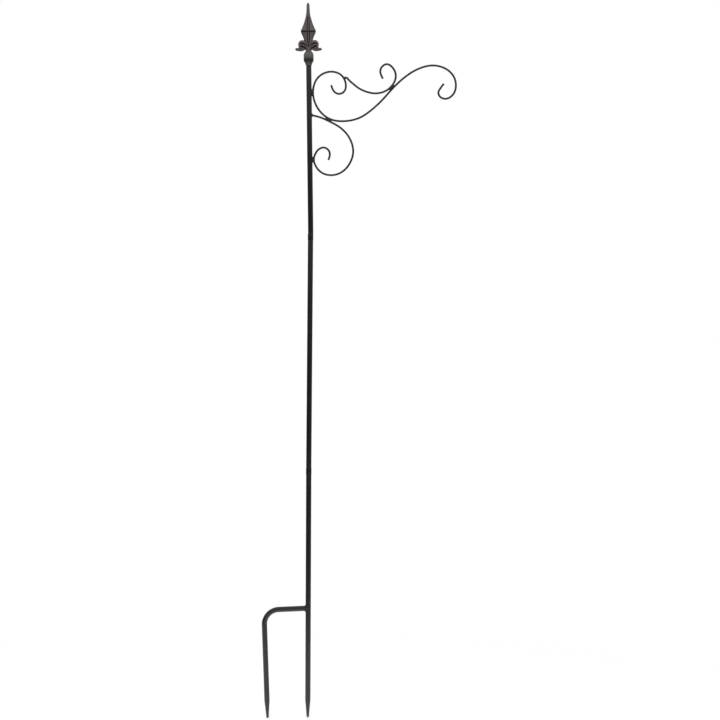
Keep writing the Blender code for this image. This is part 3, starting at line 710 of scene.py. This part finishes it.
def casting_coat():
    """Coat brushed over sand-cast iron: brown-black and matt, with painted shade in the hollows, paler
    on the crests, where the coat is rubbed thin and a highlight is painted. The socket took a black
    coat like the pole's, its colour lightened as a painted sheen. Attributes give the hollows, the
    crests and the socket."""
    # To the eye: a warm dark grey that stands off the black pole, its carving drawn in dark lines of
    # painted shade
    base = colours().casting
    look = {"roughness": 0.46, "depth": 0.06 * MM, "mottle": 8 * MM, "spread": 0.14}
    made, tree, shader = finish("coated sand casting", base, sizes().cast_grain, **look)
    # Tints: the socket's coat lightened as a painted sheen, crests paler as rubbed coat and painted
    # highlight, hollows darkened as painted shade
    tints = {
        "socket": shade(colours().socket, 1.0),
        "crest": shade(base, CREST_RUB_AND_HIGHLIGHT_TINT),
        "hollow": shade(base, HOLLOW_SHADE_TINT),
    }
    shares = {name: node(tree, "ShaderNodeAttribute", attribute_name=name).outputs["Fac"] for name in tints}
    under = shader.inputs["Base Color"].links[0].from_socket
    for name, tint in tints.items():
        ends = {"Factor": shares[name], 6: under, 7: tint}
        under = node(tree, "ShaderNodeMix", ends, data_type="RGBA").outputs[2]
    tree.links.new(under, shader.inputs["Base Color"])
    matt = shader.inputs["Roughness"].links[0].from_socket
    gloss = node(tree, "ShaderNodeMix", {"Factor": shares["socket"], "A": matt, "B": 0.30})
    tree.links.new(gloss.outputs[0], shader.inputs["Roughness"])
    sheen = node(tree, "ShaderNodeMix", {"Factor": shares["hollow"], "A": 0.5, "B": 0.12})
    tree.links.new(sheen.outputs[0], shader.inputs["Specular IOR Level"])
    return made


def carry_values(obj, name, values):
    """Stores one number for each point of a piece."""
    obj.data.attributes.new(name, "FLOAT", "POINT").data.foreach_set("value", values.astype(np.float32))


# Tubes
def open_tube(low, high):
    """Closed profile of an open tube: up the outside, over the lip, down the bore and back."""
    outer = sizes().pole_radius
    bore = outer - sizes().pole_wall
    start = (outer, (low + high) / 2, 0)
    lips = [(outer, high), (bore, high), (bore, low), (outer, low)]
    return eased([start, *((*lip, LIP_ROUNDING) for lip in lips), start])[:-1]


def pointed_tube(low, high):
    """Profile of the stake: its swaged point, the tube, its lip and the bore down to the swage."""
    outer = sizes().pole_radius
    bore = outer - sizes().pole_wall
    return eased(
        [
            (END_RING, low, 0),
            (POINT_DIAMETER / 2, low, POINT_ROUNDING),
            (outer, low + POINT_LENGTH, POINT_SHOULDER),
            (outer, high, LIP_ROUNDING),
            (bore, high, LIP_ROUNDING),
            (bore, low + POINT_LENGTH, 0),
            (END_RING, low + POINT_LENGTH, 0),
        ]
    )


# Side prong
def prong_place(x, z):
    """Points of the untilted prong, tilted about the step bar's end at the pole."""
    c, s = math.cos(PRONG_TILT), math.sin(PRONG_TILT)
    return np.stack([x * c - z * s, STEP_BAR_HEIGHT + x * s + z * c], axis=-1)


def leg_points(distance):
    """Points of the leg's centreline at distances from the corner of the prong's two centrelines."""
    return prong_place(-PRONG_REACH - distance * math.cos(PRONG_TURN), -distance * math.sin(PRONG_TURN))


def side_prong():
    """The tube carried along the bar, round the bend, where it flattens a little, and down to its
    point. The taper falls as the square of its share over four times the shoulder's share, up to
    twice that share, and then runs straight. The point's end is a quarter circle that closes
    further in its last rings. The first ring lies on the pole."""
    outer = sizes().pole_radius
    tip = POINT_DIAMETER / 2
    corner = PRONG_BEND * math.tan(PRONG_TURN / 2)
    taper_length = POINT_LENGTH * (1 + SHOULDER_SHARE)
    bar_x = np.linspace(-outer * BAR_START_SHARE, corner - PRONG_REACH, BAR_STEPS)
    turn = np.linspace(0, PRONG_TURN, BEND_STEPS)[1:]
    bend_x = corner - PRONG_REACH - PRONG_BEND * np.sin(turn)
    bend_z = PRONG_BEND * (np.cos(turn) - 1)
    leg = np.linspace(corner, PRONG_LENGTH - taper_length, LEG_STEPS)[1:]
    share = np.linspace(0, 1, TAPER_STEPS)[1:]
    taper = PRONG_LENGTH - taper_length + share * (taper_length - POINT_ROUNDING)
    shoulder = share**2 / (4 * SHOULDER_SHARE)
    fall = np.where(share < 2 * SHOULDER_SHARE, shoulder, share - SHOULDER_SHARE) / (1 - SHOULDER_SHARE)
    close = np.linspace(0, 1, TIP_STEPS)[1:]
    end_distance = PRONG_LENGTH - POINT_ROUNDING * (1 - close)
    end_radius = tip - POINT_ROUNDING * (1 - np.sqrt(1 - close**2)) - TIP_CLOSING * close**6
    legs = leg_points(np.r_[leg, taper, end_distance])
    path = np.vstack([prong_place(bar_x, np.zeros_like(bar_x)), prong_place(bend_x, bend_z), legs])
    squeeze = np.zeros(len(path))
    squeeze[len(bar_x) - 1 : len(bar_x) + len(turn)] = np.sin(np.linspace(0, math.pi, len(turn) + 1))
    straight = len(bar_x) + len(turn) + len(leg)
    radii = np.r_[np.full(straight, outer), outer - (outer - tip) * fall, end_radius]
    thick = radii - squeeze * BEND_FLATTENING
    broad = radii + squeeze * BEND_FLATTENING / 2
    grid = carried(path, thick, broad, TUBE_COLUMNS)
    return np.concatenate([saddle(grid[0], grid[1], outer)[None], grid], axis=0)


def saddle(bar_ring, further, pole_radius):
    """A bar's ring slid back along the bar until it lies on the pole: there x, on the ring's side,
    is the root of the pole's radius squared less y squared."""
    along = unit((further - bar_ring).mean(axis=0))
    side = math.copysign(1.0, bar_ring[:, 0].mean())
    x = side * np.sqrt(np.clip(pole_radius**2 - bar_ring[:, 1] ** 2, 0, None))
    return bar_ring + ((x - bar_ring[:, 0]) / along[0])[:, None] * along


def crosswise(vectors, way):
    """The unit directions of what is left of vectors across a unit direction."""
    return unit(vectors - (vectors * way).sum(axis=-1, keepdims=True) * way)


def saddle_bead(bar_ring, further, pole_radius):
    """A weld bead along the line where a bar meets the pole: an ellipse carried round the saddle,
    lying on the corner where the bar's crotch is deep and sunk where the surfaces run level. Its
    size is waved, and swells by the root of each drop's share as the weld metal froze."""
    line = saddle(bar_ring, further, pole_radius)
    from_bar = crosswise(line - line.mean(axis=0), unit((further - bar_ring).mean(axis=0)))
    from_pole = unit(line * (1, 1, 0))
    along = unit(np.roll(line, -1, axis=0) - np.roll(line, 1, axis=0))
    outward = crosswise(from_bar + from_pole, along)
    beside = np.cross(along, outward)
    steps = np.linalg.norm(np.roll(line, -1, axis=0) - line, axis=1)
    length = np.cumsum(steps) - steps
    drops = round(steps.sum() / RIPPLE_PITCH)
    phase = (length / steps.sum() * drops) % 1.0
    swell = waved(length, FILLET_WAVES) * (1 + FILLET_DROP_SHARE * np.sqrt(phase))
    half = (FILLET_LEG * FILLET_SIZE_SHARE * swell)[:, None]
    level = np.abs((from_bar * from_pole).sum(axis=1))[:, None]
    corner, sunk = FILLET_SINK_SHARES
    centre = line - outward * FILLET_LEG * (corner + sunk * level)
    out, aside = ring(BEAD_COLUMNS)
    up = (half * out)[..., None] * outward[:, None]
    over = (half * FILLET_BREADTH_SHARE * aside)[..., None] * beside[:, None]
    return centre[:, None] + up + over


# Couplers
def spigot_length():
    """How far a coupler's spigots reach beyond its collar, from the lower coupler: all are alike."""
    low, high = STAKE.span("lower_coupler")
    return (high - low - COLLAR_LENGTH) / 2


def coupler_profile():
    """Profile of a turned coupler, its zero at the collar's lower face: the half below the collar's
    middle, and the same half turned over."""
    low = -spigot_length()
    half = [
        (END_RING, low, 0),
        (SPIGOT_RADIUS - SPIGOT_CHAMFER, low, SPIGOT_END_ROUNDING),
        (SPIGOT_RADIUS, low + SPIGOT_CHAMFER, CHAMFER_ROUNDING),
        (SPIGOT_RADIUS, 0, ROOT_ROUNDING),
        (sizes().pole_radius + COLLAR_STEP, 0, COLLAR_ROUNDING),
    ]
    return eased(half + [(x, COLLAR_LENGTH - z, rounding) for x, z, rounding in half[::-1]])


# Scrolls
def scroll_curve(shares):
    """A scroll's centreline: its shares times the arm's span, from where the curls meet the pole."""
    contact = sizes().pole_radius + WELD_ROOT + sizes().rod_radius
    span = ARM_REACH - sizes().rod_radius - contact
    height = UPPER.span("upper_pole")[1] - HOOK_DROP
    return smooth_curve(np.array(shares) * span + (contact, height))


def apart(curve, other):
    """The least distance from each point of a curve to another curve's points."""
    return np.sqrt(((curve[:, None] - other[None]) ** 2).sum(axis=2)).min(axis=1)


def shift_to_rest(curve, other, towards):
    """How far a scroll moves along a direction to lie a weld's root from the other."""
    towards = unit(np.asarray(towards, float))
    spacing = sizes().rod_radius * 2 + WELD_ROOT
    near, far = -spacing, spacing
    for _ in range(HALVINGS):
        middle = (near + far) / 2
        if apart(curve + towards * middle, other).min() > spacing:
            near = middle
        else:
            far = middle
    return towards * near


def later(curve):
    """The curve without its bent start."""
    return curve[int(BENT_START_SHARE * len(curve)) :]


def scroll_curves():
    """Centrelines of the hook, the accent and the bracket, resting against each other."""
    hook = scroll_curve(HOOK_SHARES)
    bracket = scroll_curve(BRACKET_SHARES)
    bracket = bracket + shift_to_rest(bracket, hook, (0, 1))
    bracket = bracket[(bracket[:, 0] > 0).argmax() :]
    accent = scroll_curve(ACCENT_SHARES)
    accent = accent + shift_to_rest(later(accent), hook, (1, -1))
    clear = apart(accent, hook) >= sizes().rod_radius * 2 + ACCENT_END_GAP
    return {"hook": hook, "accent": accent[clear.argmax() :], "bracket": bracket}


def rod_surface(curve):
    """The rod carried along its curve. Each end's radius is the rod's times the cube root of one
    less the cube of the share of the rounding that is left: a sheared end softened by the coat."""
    path = spaced(curve)
    radius = sizes().rod_radius
    steps = (np.linspace(ROD_END_SHARE, 1, ROD_END_STEPS) ** 2)[:, None] * ROD_END_ROUNDING
    head = path[0] + unit(path[1] - path[0]) * steps
    tail = path[-1] + unit(path[-2] - path[-1]) * steps[::-1]
    path = np.vstack([head, path[1:-1], tail])
    left = 1 - steps[:, 0] / ROD_END_ROUNDING
    soft = radius * np.cbrt(1 - left**3)
    radii = np.r_[soft, np.full(len(path) - 2 * len(soft), radius), soft[::-1]]
    return carried(path, radii, radii)


# Weld beads between rods
def bead_surface(path, span, depth):
    """An ellipse carried along a joint's line: its sizes follow a superellipse along the bead, are
    waved, and swell and step back with every drop of weld metal."""
    share = (1 - np.cos(np.linspace(BEAD_END_ANGLE, math.pi - BEAD_END_ANGLE, BEAD_STEPS))) / 2
    line = resampled(path, np.linspace(0, 1, len(path)), share)
    place = share * np.linalg.norm(np.diff(path, axis=0), axis=1).sum()
    ripple = waved(place, BEAD_WAVES) + BEAD_DROP_SHARE * ((place / RIPPLE_PITCH) % 1.0)
    body = superellipse(share, BEAD_POWER) * ripple
    return carried(line, span / 2 * body, depth / 2 * body, BEAD_COLUMNS)


def pole_joint(touching, length):
    """The upright line between the pole and a scroll, about the scroll's nearest place."""
    height = touching[touching[:, 0].argmin()][1]
    x = sizes().pole_radius + WELD_ROOT / 2
    along = np.linspace(-length / 2, length / 2, JOINT_STEPS)
    return np.column_stack([np.full(JOINT_STEPS, x), height + along])


def rod_joint(touching, other, length):
    """The line midway between two scrolls, about the place where they come nearest."""
    gaps = apart(touching, other)
    steps = np.r_[0, np.cumsum(np.linalg.norm(np.diff(touching, axis=0), axis=1))]
    near = touching[np.abs(steps - steps[gaps.argmin()]) < length / 2]
    facing = other[((near[:, None] - other[None]) ** 2).sum(axis=2).argmin(axis=1)]
    return (near + facing) / 2


def end_joint(start, other):
    """The line from a rod's end across to the scroll that it is welded to."""
    facing = other[((other - start[0]) ** 2).sum(axis=1).argmin()]
    reach = np.linspace(-END_BEAD_LENGTH / 2, END_BEAD_LENGTH / 2, JOINT_STEPS)
    return (facing + start[0]) / 2 + reach[:, None] * unit(facing - start[0])


# Finial
def spear_surface():
    """A superellipse in plan, wider or narrower at each height of the spear, its corners blurred."""
    up, *halves = np.array(SPEAR_SHARES).T
    height = np.linspace(up[0], up[-1], SPEAR_STEPS)
    padded = [np.pad(np.interp(height, up, half), len(SPEAR_BLUR) // 2, "edge") for half in halves]
    wide, deep = (np.convolve(half, SPEAR_BLUR, "valid")[:, None] for half in padded)
    plan_x, plan_y = ring(SPEAR_COLUMNS, SPEAR_SQUARENESS)
    x = wide * plan_x * SPEAR_WIDTH / 2
    y = deep * plan_y * SPEAR_DEPTH / 2
    return np.stack([x, y, np.broadcast_to(height[:, None] * FINIAL_HEIGHT, x.shape)], axis=-1)


def ball_surface():
    """The socket's bore, the ball round it and the stem above, turned about the pole's axis."""
    bore = sizes().pole_radius + SOCKET_PLAY
    shares = [(SOCKET_RIM + out * BALL_SWELL, up * FINIAL_HEIGHT) for out, up in BALL_SHARES]
    shares += [(share * STEM_DIAMETER / 2, up * FINIAL_HEIGHT) for share, up in STEM_SHARES]
    inside = [(END_RING, SOCKET_DEPTH), (bore, SOCKET_DEPTH), (bore, 0)]
    return turned(np.vstack([inside, smooth_curve(shares, BALL_STEPS)]))


def ridge_surface(side, shares):
    """A rounded ridge carried along its centreline, its sizes on the same spline as its points and
    drawn in at both ends as a superellipse."""
    scale = np.array([side * FINIAL_SPREAD / 2, FINIAL_HEIGHT, LEAF_THICKNESS / 2, LEAF_BREADTH / 2])
    line = smooth_curve(np.array(shares) * scale, RIDGE_STEPS)
    place = np.linspace(RIDGE_END_SHARE, 1 - RIDGE_END_SHARE, RIDGE_STEPS)
    grown = superellipse(place, RIDGE_POWER)[:, None]
    return carried(line[:, :2], *(line[:, 2:] * grown).T, BEAD_COLUMNS, RIDGE_SQUARENESS)


def web_surface(side):
    """A plate whose outline is a closed spline: each point lies a share of the way from the middle
    to the outline, and the depth is the plate's times the fourth root of one less that share's
    fourth power."""
    scale = np.array([side * FINIAL_SPREAD / 2, FINIAL_HEIGHT])
    outline = smooth_curve(np.array(WEB_SHARES + WEB_SHARES[:1]) * scale, WEB_COLUMNS + 1)[:-1]
    middle = np.array(WEB_MIDDLE_SHARES) * scale
    turn = np.linspace(WEB_END_ANGLE, math.pi - WEB_END_ANGLE, WEB_STEPS)
    share = np.sin(turn) ** WEB_CROWDING
    depth = np.sign(np.cos(turn)) * (1 - share**4) ** 0.25 * WEB_DEPTH_SHARE * LEAF_BREADTH / 2
    flat = middle + share[:, None, None] * (outline - middle)
    return np.stack([flat[..., 0], np.broadcast_to(depth[:, None], flat.shape[:2]), flat[..., 1]], axis=-1)


def knot_surface(side):
    """The raised knot inside a leaf's curl: an ellipse carried across, narrowing to both ends."""
    across, up, width, height, depth = KNOT_SHARES
    share = np.linspace(KNOT_END_SHARE, 1 - KNOT_END_SHARE, KNOT_STEPS)
    x = side * (across + (share * 2 - 1) * width) * FINIAL_SPREAD / 2
    body = superellipse(share, 2.0)
    path = np.column_stack([x, np.full(KNOT_STEPS, up * FINIAL_HEIGHT)])
    return carried(path, height * FINIAL_HEIGHT * body, depth * LEAF_BREADTH * body, BEAD_COLUMNS)


def fused(obj):
    """The outer surface of pieces that pass through each other, as one mesh of small squares."""
    step = obj.modifiers.new("fuse", "REMESH")
    step.mode = "VOXEL"
    step.voxel_size = FINIAL_VOXEL
    graph = bpy.context.evaluated_depsgraph_get()
    made = bpy.data.meshes.new_from_object(obj.evaluated_get(graph))
    obj.modifiers.clear()
    obj.data = made
    obj.data.materials.clear()
    return obj


def relaxed(points, edges, times):
    """Points moved half way to the mean of their neighbours, so many times."""
    count = np.bincount(edges.ravel(), minlength=len(points))[:, None]
    for _ in range(times):
        total = np.zeros_like(points)
        for axis in range(3):
            ends = points[:, axis]
            total[:, axis] = np.bincount(edges[:, 0], ends[edges[:, 1]], len(points))
            total[:, axis] += np.bincount(edges[:, 1], ends[edges[:, 0]], len(points))
        points = (points + total / count) / 2
    return points


def line_share(x, z, shares, half):
    """How much of a carved line reaches each point: e to the minus square of its distance from the
    line's spline over the line's half width."""
    line = smooth_curve(np.array(shares) * (FINIAL_SPREAD / 2, FINIAL_HEIGHT), LINE_STEPS)
    start, way = line[:-1], np.diff(line, axis=0)
    offset = np.column_stack([x, z])[:, None] - start
    share = np.clip((offset * way).sum(axis=2) / (way**2).sum(axis=1), 0, 1)
    gap = np.linalg.norm(offset - share[..., None] * way, axis=2).min(axis=1)
    return np.exp(-((gap / (half * MM)) ** 2))


def carve(obj):
    """Cuts the carved lines into the casting: each point moves inwards along its normal by the
    lines' depth, less where it faces sideways. Hollows and crests are kept as attributes, for painted
    shade in the hollows and for a rubbed coat and a painted highlight on the crests: the lines' tones,
    and how far the surface stands below or above its own smoothed form."""
    mesh = obj.data
    edges = np.empty(len(mesh.edges) * 2, np.int64)
    mesh.edges.foreach_get("vertices", edges)
    edges = edges.reshape(-1, 2)
    points = relaxed(read_points(mesh.vertices), edges, SQUARES_ROUNDS)
    mesh.vertices.foreach_set("co", points.ravel())
    mesh.update()
    normals = read_points(mesh.vertex_normals, "vector")
    x = np.abs((points - FINIAL.foot) @ FINIAL.out)
    z = (points - FINIAL.foot) @ FINIAL.up
    least, most = FACING_SHARES
    facing = np.clip((np.abs(normals[:, 1]) - least) / (most - least), 0, 1)
    cut, dark, pale = np.zeros((3, len(points)))
    for name, (shares, half, depth, tone) in CARVED_LINES.items():
        found = line_share(x, z, shares, half)
        if name not in ROUND_LINES:
            found = found * facing
        cut = np.maximum(cut, found * depth * MM)
        dark = np.maximum(dark, found * tone)
        pale = np.maximum(pale, -found * tone)
    points = relaxed(points - normals * cut[:, None], edges, 1)
    mesh.vertices.foreach_set("co", points.ravel())
    mesh.update()
    raised = ((points - relaxed(points, edges, FORM_ROUNDS)) * normals).sum(axis=1)
    # Painted shade in the hollows; the crests paler, partly rubbed coat, partly painted highlight
    carry_values(obj, "hollow", np.clip(dark - raised / HOLLOW_DEPTH, 0, 1))
    carry_values(obj, "crest", np.clip(pale + raised / CREST_HEIGHT - dark - CREST_START, 0, 1))
    # Where the ball's own coat lies, lightened as a painted sheen
    carry_values(obj, "socket", np.clip((SOCKET_TOP_SHARE * FINIAL_HEIGHT - z) / SOCKET_FADE, 0, 1))
    mesh.shade_smooth()


# Operators
class BuildTubes(bpy.types.Operator):
    """Builds the three tubes of the pole"""

    bl_idname = "lantern_hook.tubes"
    bl_label = "Pole Tubes"

    def execute(self, context):
        coat = tube_coat()
        stake = skin("stake_tube", STAKE.place(turned(pointed_tube(*STAKE.span("lower_pole")))))
        fitted(stake, coat, "stake", "tube_coat", "lower_pole")
        for name, section, body, stands_for in (
            ("middle_tube", MIDDLE, "middle_section", "middle_pole"),
            ("upper_tube", UPPER, "hook_section", "upper_pole"),
        ):
            grid = section.place(turned(open_tube(*section.span(stands_for))))
            fitted(skin(name, grid, looped=True), coat, body, "tube_coat", stands_for)
        return {"FINISHED"}


class BuildProng(bpy.types.Operator):
    """Builds the side prong with its step bar and the weld that holds it"""

    bl_idname = "lantern_hook.prong"
    bl_label = "Side Prong"

    def execute(self, context):
        grid = side_prong()
        fitted(skin("step_prong", grid), tube_coat(), "stake", "tube_coat", "side_prong")
        bead = saddle_bead(grid[1], grid[2], sizes().pole_radius)
        weld = skin("step_prong_weld", bead, looped=True)
        fitted(weld, weld_coat(), "stake", "weld_coat", "prong_weld")
        return {"FINISHED"}


class BuildCouplers(bpy.types.Operator):
    """Builds the two turned couplers between the sections"""

    bl_idname = "lantern_hook.couplers"
    bl_label = "Couplers"

    def execute(self, context):
        coat = coupler_coat()
        for name, section, body, stands_for in (
            ("lower_joint_coupler", STAKE, "lower_joint", "lower_coupler"),
            ("upper_joint_coupler", MIDDLE, "upper_joint", "upper_coupler"),
        ):
            face = section.span(stands_for)[0] + spigot_length()
            made = skin(name, section.place(turned(coupler_profile() + (0, face))))
            height = (read_points(made.data.vertices) - section.foot) @ section.up - face
            beyond = np.maximum(-height, height - COLLAR_LENGTH)
            carry_values(made, "rub", np.clip(beyond / RUB_FADE, 0, 1))
            fitted(made, coat, body, "coupler_coat", stands_for)
        return {"FINISHED"}


class BuildScrolls(bpy.types.Operator):
    """Builds the hook, accent and bracket scrolls of bent round rod"""

    bl_idname = "lantern_hook.scrolls"
    bl_label = "Scrolls"

    def execute(self, context):
        coat = rod_coat()
        for name, curve in scroll_curves().items():
            made = skin(f"{name}_rod", UPPER.place(rod_surface(curve)))
            fitted(made, coat, "hook_section", "rod_coat", f"{name}_scroll")
        return {"FINISHED"}


class BuildWelds(bpy.types.Operator):
    """Builds the weld beads of the hook arm"""

    bl_idname = "lantern_hook.welds"
    bl_label = "Arm Welds"

    def execute(self, context):
        coat = weld_coat()
        curves = scroll_curves()
        hook, accent, bracket = curves["hook"], curves["accent"], curves["bracket"]
        joints = {
            "hook_pole_weld": pole_joint(hook, BEAD_LENGTH),
            "curl_pole_weld": pole_joint(later(bracket), CURL_BEAD_LENGTH),
            "bracket_hook_weld": rod_joint(bracket, hook, BEAD_LENGTH),
            "accent_hook_weld": rod_joint(later(accent), hook, BEAD_LENGTH),
        }
        beads = {name: bead_surface(path, BEAD_SPAN, BEAD_DEPTH) for name, path in joints.items()}
        beads["accent_end_weld"] = bead_surface(end_joint(accent, hook), END_BEAD_SPAN, BEAD_DEPTH)
        outside = bracket[bracket[:, 0] > sizes().pole_radius]
        radii = np.full(len(outside), sizes().rod_radius)
        bar = carried(outside, radii, radii, TUBE_COLUMNS)
        beads["bracket_pole_weld"] = saddle_bead(bar[0], bar[2], sizes().pole_radius)
        for stands_for, grid in beads.items():
            closed = stands_for == "bracket_pole_weld"
            made = skin(stands_for.replace("weld", "bead"), UPPER.place(grid), looped=closed)
            fitted(made, coat, "hook_section", "weld_coat", stands_for)
        return {"FINISHED"}


class BuildFinial(bpy.types.Operator):
    """Builds the cast finial on the pole's top"""

    bl_idname = "lantern_hook.finial"
    bl_label = "Finial"

    def execute(self, context):
        grids = [spear_surface(), ball_surface()]
        for side in (-1, 1):
            grids += [ridge_surface(side, RIM_SHARES), ridge_surface(side, LIP_SHARES)]
            grids += [web_surface(side), knot_surface(side)]
        made = fused(join_grids("cast_finial", [FINIAL.place(grid) for grid in grids]))
        carve(made)
        fitted(made, casting_coat(), "hook_section", "casting_coat", "finial")
        return {"FINISHED"}


def lamp(name, place, width, height, power):
    """A soft lamp of a given size, facing the lamps' target."""
    data = bpy.data.lights.new(name, "AREA")
    data.shape = "RECTANGLE"
    data.size = width
    data.size_y = height
    data.energy = power
    made = bpy.data.objects.new(name, data)
    bpy.context.scene.collection.objects.link(made)
    back = unit(np.subtract(place, LAMP_TARGET))
    side = unit(np.cross((0, 0, 1), back))
    turn = np.column_stack([side, np.cross(back, side), back])
    made.matrix_world = Matrix.Translation(place) @ Matrix(turn.tolist()).to_4x4()
    made.visible_camera = False
    made.visible_glossy = False


def photo_camera():
    """A camera that looks along +Y, level with the photograph's middle and rolled as it is, with
    the photograph's pixels at their real size in the plane of the pole and the arm."""
    x, y = PHOTO_SIDE / 2 - ORIGIN_PIXEL[0], PHOTO_SIDE / 2 - ORIGIN_PIXEL[1]
    c, s = math.cos(ROLL), math.sin(ROLL)
    middle = PIXEL * np.array([x * c + y * s, 0.0, x * s - y * c])
    data = bpy.data.cameras.new("camera")
    data.sensor_width = SENSOR_WIDTH
    data.lens = SENSOR_WIDTH * CAMERA_DISTANCE / (PHOTO_SIDE * PIXEL)
    data.clip_end = CAMERA_REACH
    made = bpy.data.objects.new("camera", data)
    bpy.context.scene.collection.objects.link(made)
    turn = Matrix(((c, -s, 0), (0, 0, -1), (s, c, 0))).to_4x4()
    made.matrix_world = Matrix.Translation(middle - (0, CAMERA_DISTANCE, 0)) @ turn
    bpy.context.scene.camera = made


def floor_paint():
    """Matt pale floor paint. To the camera and in reflections it is lifted towards white, fully so
    further out, and near the object its own light and shadow stay."""
    # To the eye: a white sweep without an edge, on which only the object's soft shadow shows
    made = bpy.data.materials.new("matt pale floor paint")
    tree = bare_tree(made)
    place = node(tree, "ShaderNodeTexCoord").outputs["Object"]
    grain = node(tree, "ShaderNodeTexNoise", {"Vector": place, "Scale": 40.0, "Detail": 3.0})
    base = colours().floor
    ends = {"Factor": grain.outputs["Fac"], 6: shade(base, 0.99), 7: shade(base, 1.0)}
    tone = node(tree, "ShaderNodeMix", ends, data_type="RGBA")
    paint = node(tree, "ShaderNodeBsdfPrincipled", {"Base Color": tone.outputs[2], "Roughness": 0.85})
    rays = node(tree, "ShaderNodeLightPath").outputs
    either = {0: rays["Is Camera Ray"], 1: rays["Is Glossy Ray"]}
    seen = node(tree, "ShaderNodeMath", either, operation="MAXIMUM").outputs[0]
    white = shade((1, 1, 1), 1.0)
    lift = node(tree, "ShaderNodeMath", {0: seen, 1: FLOOR_LIFT}, operation="MULTIPLY").outputs[0]
    glow = node(tree, "ShaderNodeEmission", {"Color": white, "Strength": lift})
    near = node(tree, "ShaderNodeAddShader", {0: paint.outputs[0], 1: glow.outputs[0]})
    distance = node(tree, "ShaderNodeVectorMath", {0: place}, operation="LENGTH").outputs["Value"]
    ends = {"Value": distance, "From Min": FLOOR_FADE[0], "From Max": FLOOR_FADE[1]}
    fade = node(tree, "ShaderNodeMapRange", ends, interpolation_type="SMOOTHSTEP").outputs["Result"]
    share = node(tree, "ShaderNodeMath", {0: fade, 1: seen}, operation="MULTIPLY").outputs[0]
    far = node(tree, "ShaderNodeEmission", {"Color": white})
    mixed = node(tree, "ShaderNodeMixShader", {0: share, 1: near.outputs[0], 2: far.outputs[0]})
    node(tree, "ShaderNodeOutputMaterial", {"Surface": mixed.outputs[0]})
    return made


def studio_light():
    """The world. The camera sees it white. Reflections see the white backdrop behind the object and
    the ceiling's light, with a dim room between them that is a little lighter on the right.
    Everything else takes the room's level."""
    world = bpy.data.worlds.new("studio")
    bpy.context.scene.world = world
    tree = bare_tree(world)
    rays = node(tree, "ShaderNodeLightPath").outputs
    way = node(tree, "ShaderNodeTexCoord").outputs["Generated"]
    split = node(tree, "ShaderNodeSeparateXYZ", {"Vector": way}).outputs
    seen = 0.0
    for axis, levels in ROOM_SIDES.items():
        ends = {"Value": split[axis], **dict(zip(("From Min", "From Max", "To Min", "To Max"), levels))}
        side = node(tree, "ShaderNodeMapRange", ends, interpolation_type="SMOOTHSTEP").outputs["Result"]
        seen = node(tree, "ShaderNodeMath", {0: seen, 1: side}, operation="MAXIMUM").outputs[0]
    either = {0: rays["Is Glossy Ray"], 1: rays["Is Transmission Ray"]}
    mirrored = node(tree, "ShaderNodeMath", either, operation="MAXIMUM").outputs[0]
    room = node(tree, "ShaderNodeMix", {"Factor": mirrored, "A": ROOM_LIGHT, "B": seen}).outputs[0]
    level = node(tree, "ShaderNodeMix", {"Factor": rays["Is Camera Ray"], "A": room, "B": 1.0})
    plain = {"Color": shade((1, 1, 1), 1.0), "Strength": level.outputs[0]}
    sky = node(tree, "ShaderNodeBackground", plain)
    node(tree, "ShaderNodeOutputWorld", {"Surface": sky.outputs[0]})


class BuildStage(bpy.types.Operator):
    """Builds the pale floor, the soft lamps, the studio's room light and the camera"""

    bl_idname = "lantern_hook.stage"
    bl_label = "Stage"

    def execute(self, context):
        ground = CAD_BOUNDS[0][2] - FLOOR_GAP
        corners = np.array([(-1, -1, 0), (1, -1, 0), (1, 1, 0), (-1, 1, 0)]) * FLOOR_HALF + (0, 0, ground)
        floor = mesh_object("floor", corners, [(0, 1, 2, 3)])
        floor.data.materials.append(floor_paint())
        studio_light()
        for name, settings in LAMPS.items():
            lamp(name, *settings)
        photo_camera()
        context.scene.view_settings.view_transform = "Standard"
        return {"FINISHED"}


BUILD_STEPS = (BuildTubes, BuildProng, BuildCouplers, BuildScrolls, BuildWelds, BuildFinial, BuildStage)


class HookPanel(bpy.types.Panel):
    """Sizes, colours and building steps of the lantern hook"""

    bl_idname = "VIEW3D_PT_lantern_hook"
    bl_label = "Lantern Hook"
    bl_space_type = "VIEW_3D"
    bl_region_type = "UI"
    bl_category = "Lantern Hook"

    def draw(self, context):
        for group in (context.scene.hook_sizes, context.scene.hook_colours):
            for key in group.__annotations__:
                self.layout.prop(group, key)
        for step in BUILD_STEPS:
            self.layout.operator(step.bl_idname)


CLASSES = (HookSizes, HookColours, *BUILD_STEPS, HookPanel)


def register():
    for cls in CLASSES:
        bpy.utils.register_class(cls)
    bpy.types.Scene.hook_sizes = bpy.props.PointerProperty(type=HookSizes)
    bpy.types.Scene.hook_colours = bpy.props.PointerProperty(type=HookColours)


def unregister():
    del bpy.types.Scene.hook_colours
    del bpy.types.Scene.hook_sizes
    for cls in reversed(CLASSES):
        bpy.utils.unregister_class(cls)


def main():
    register()
    bpy.ops.lantern_hook.tubes()
    bpy.ops.lantern_hook.prong()
    bpy.ops.lantern_hook.couplers()
    bpy.ops.lantern_hook.scrolls()
    bpy.ops.lantern_hook.welds()
    bpy.ops.lantern_hook.finial()
    bpy.ops.lantern_hook.stage()


if __name__ == "__main__":
    main()
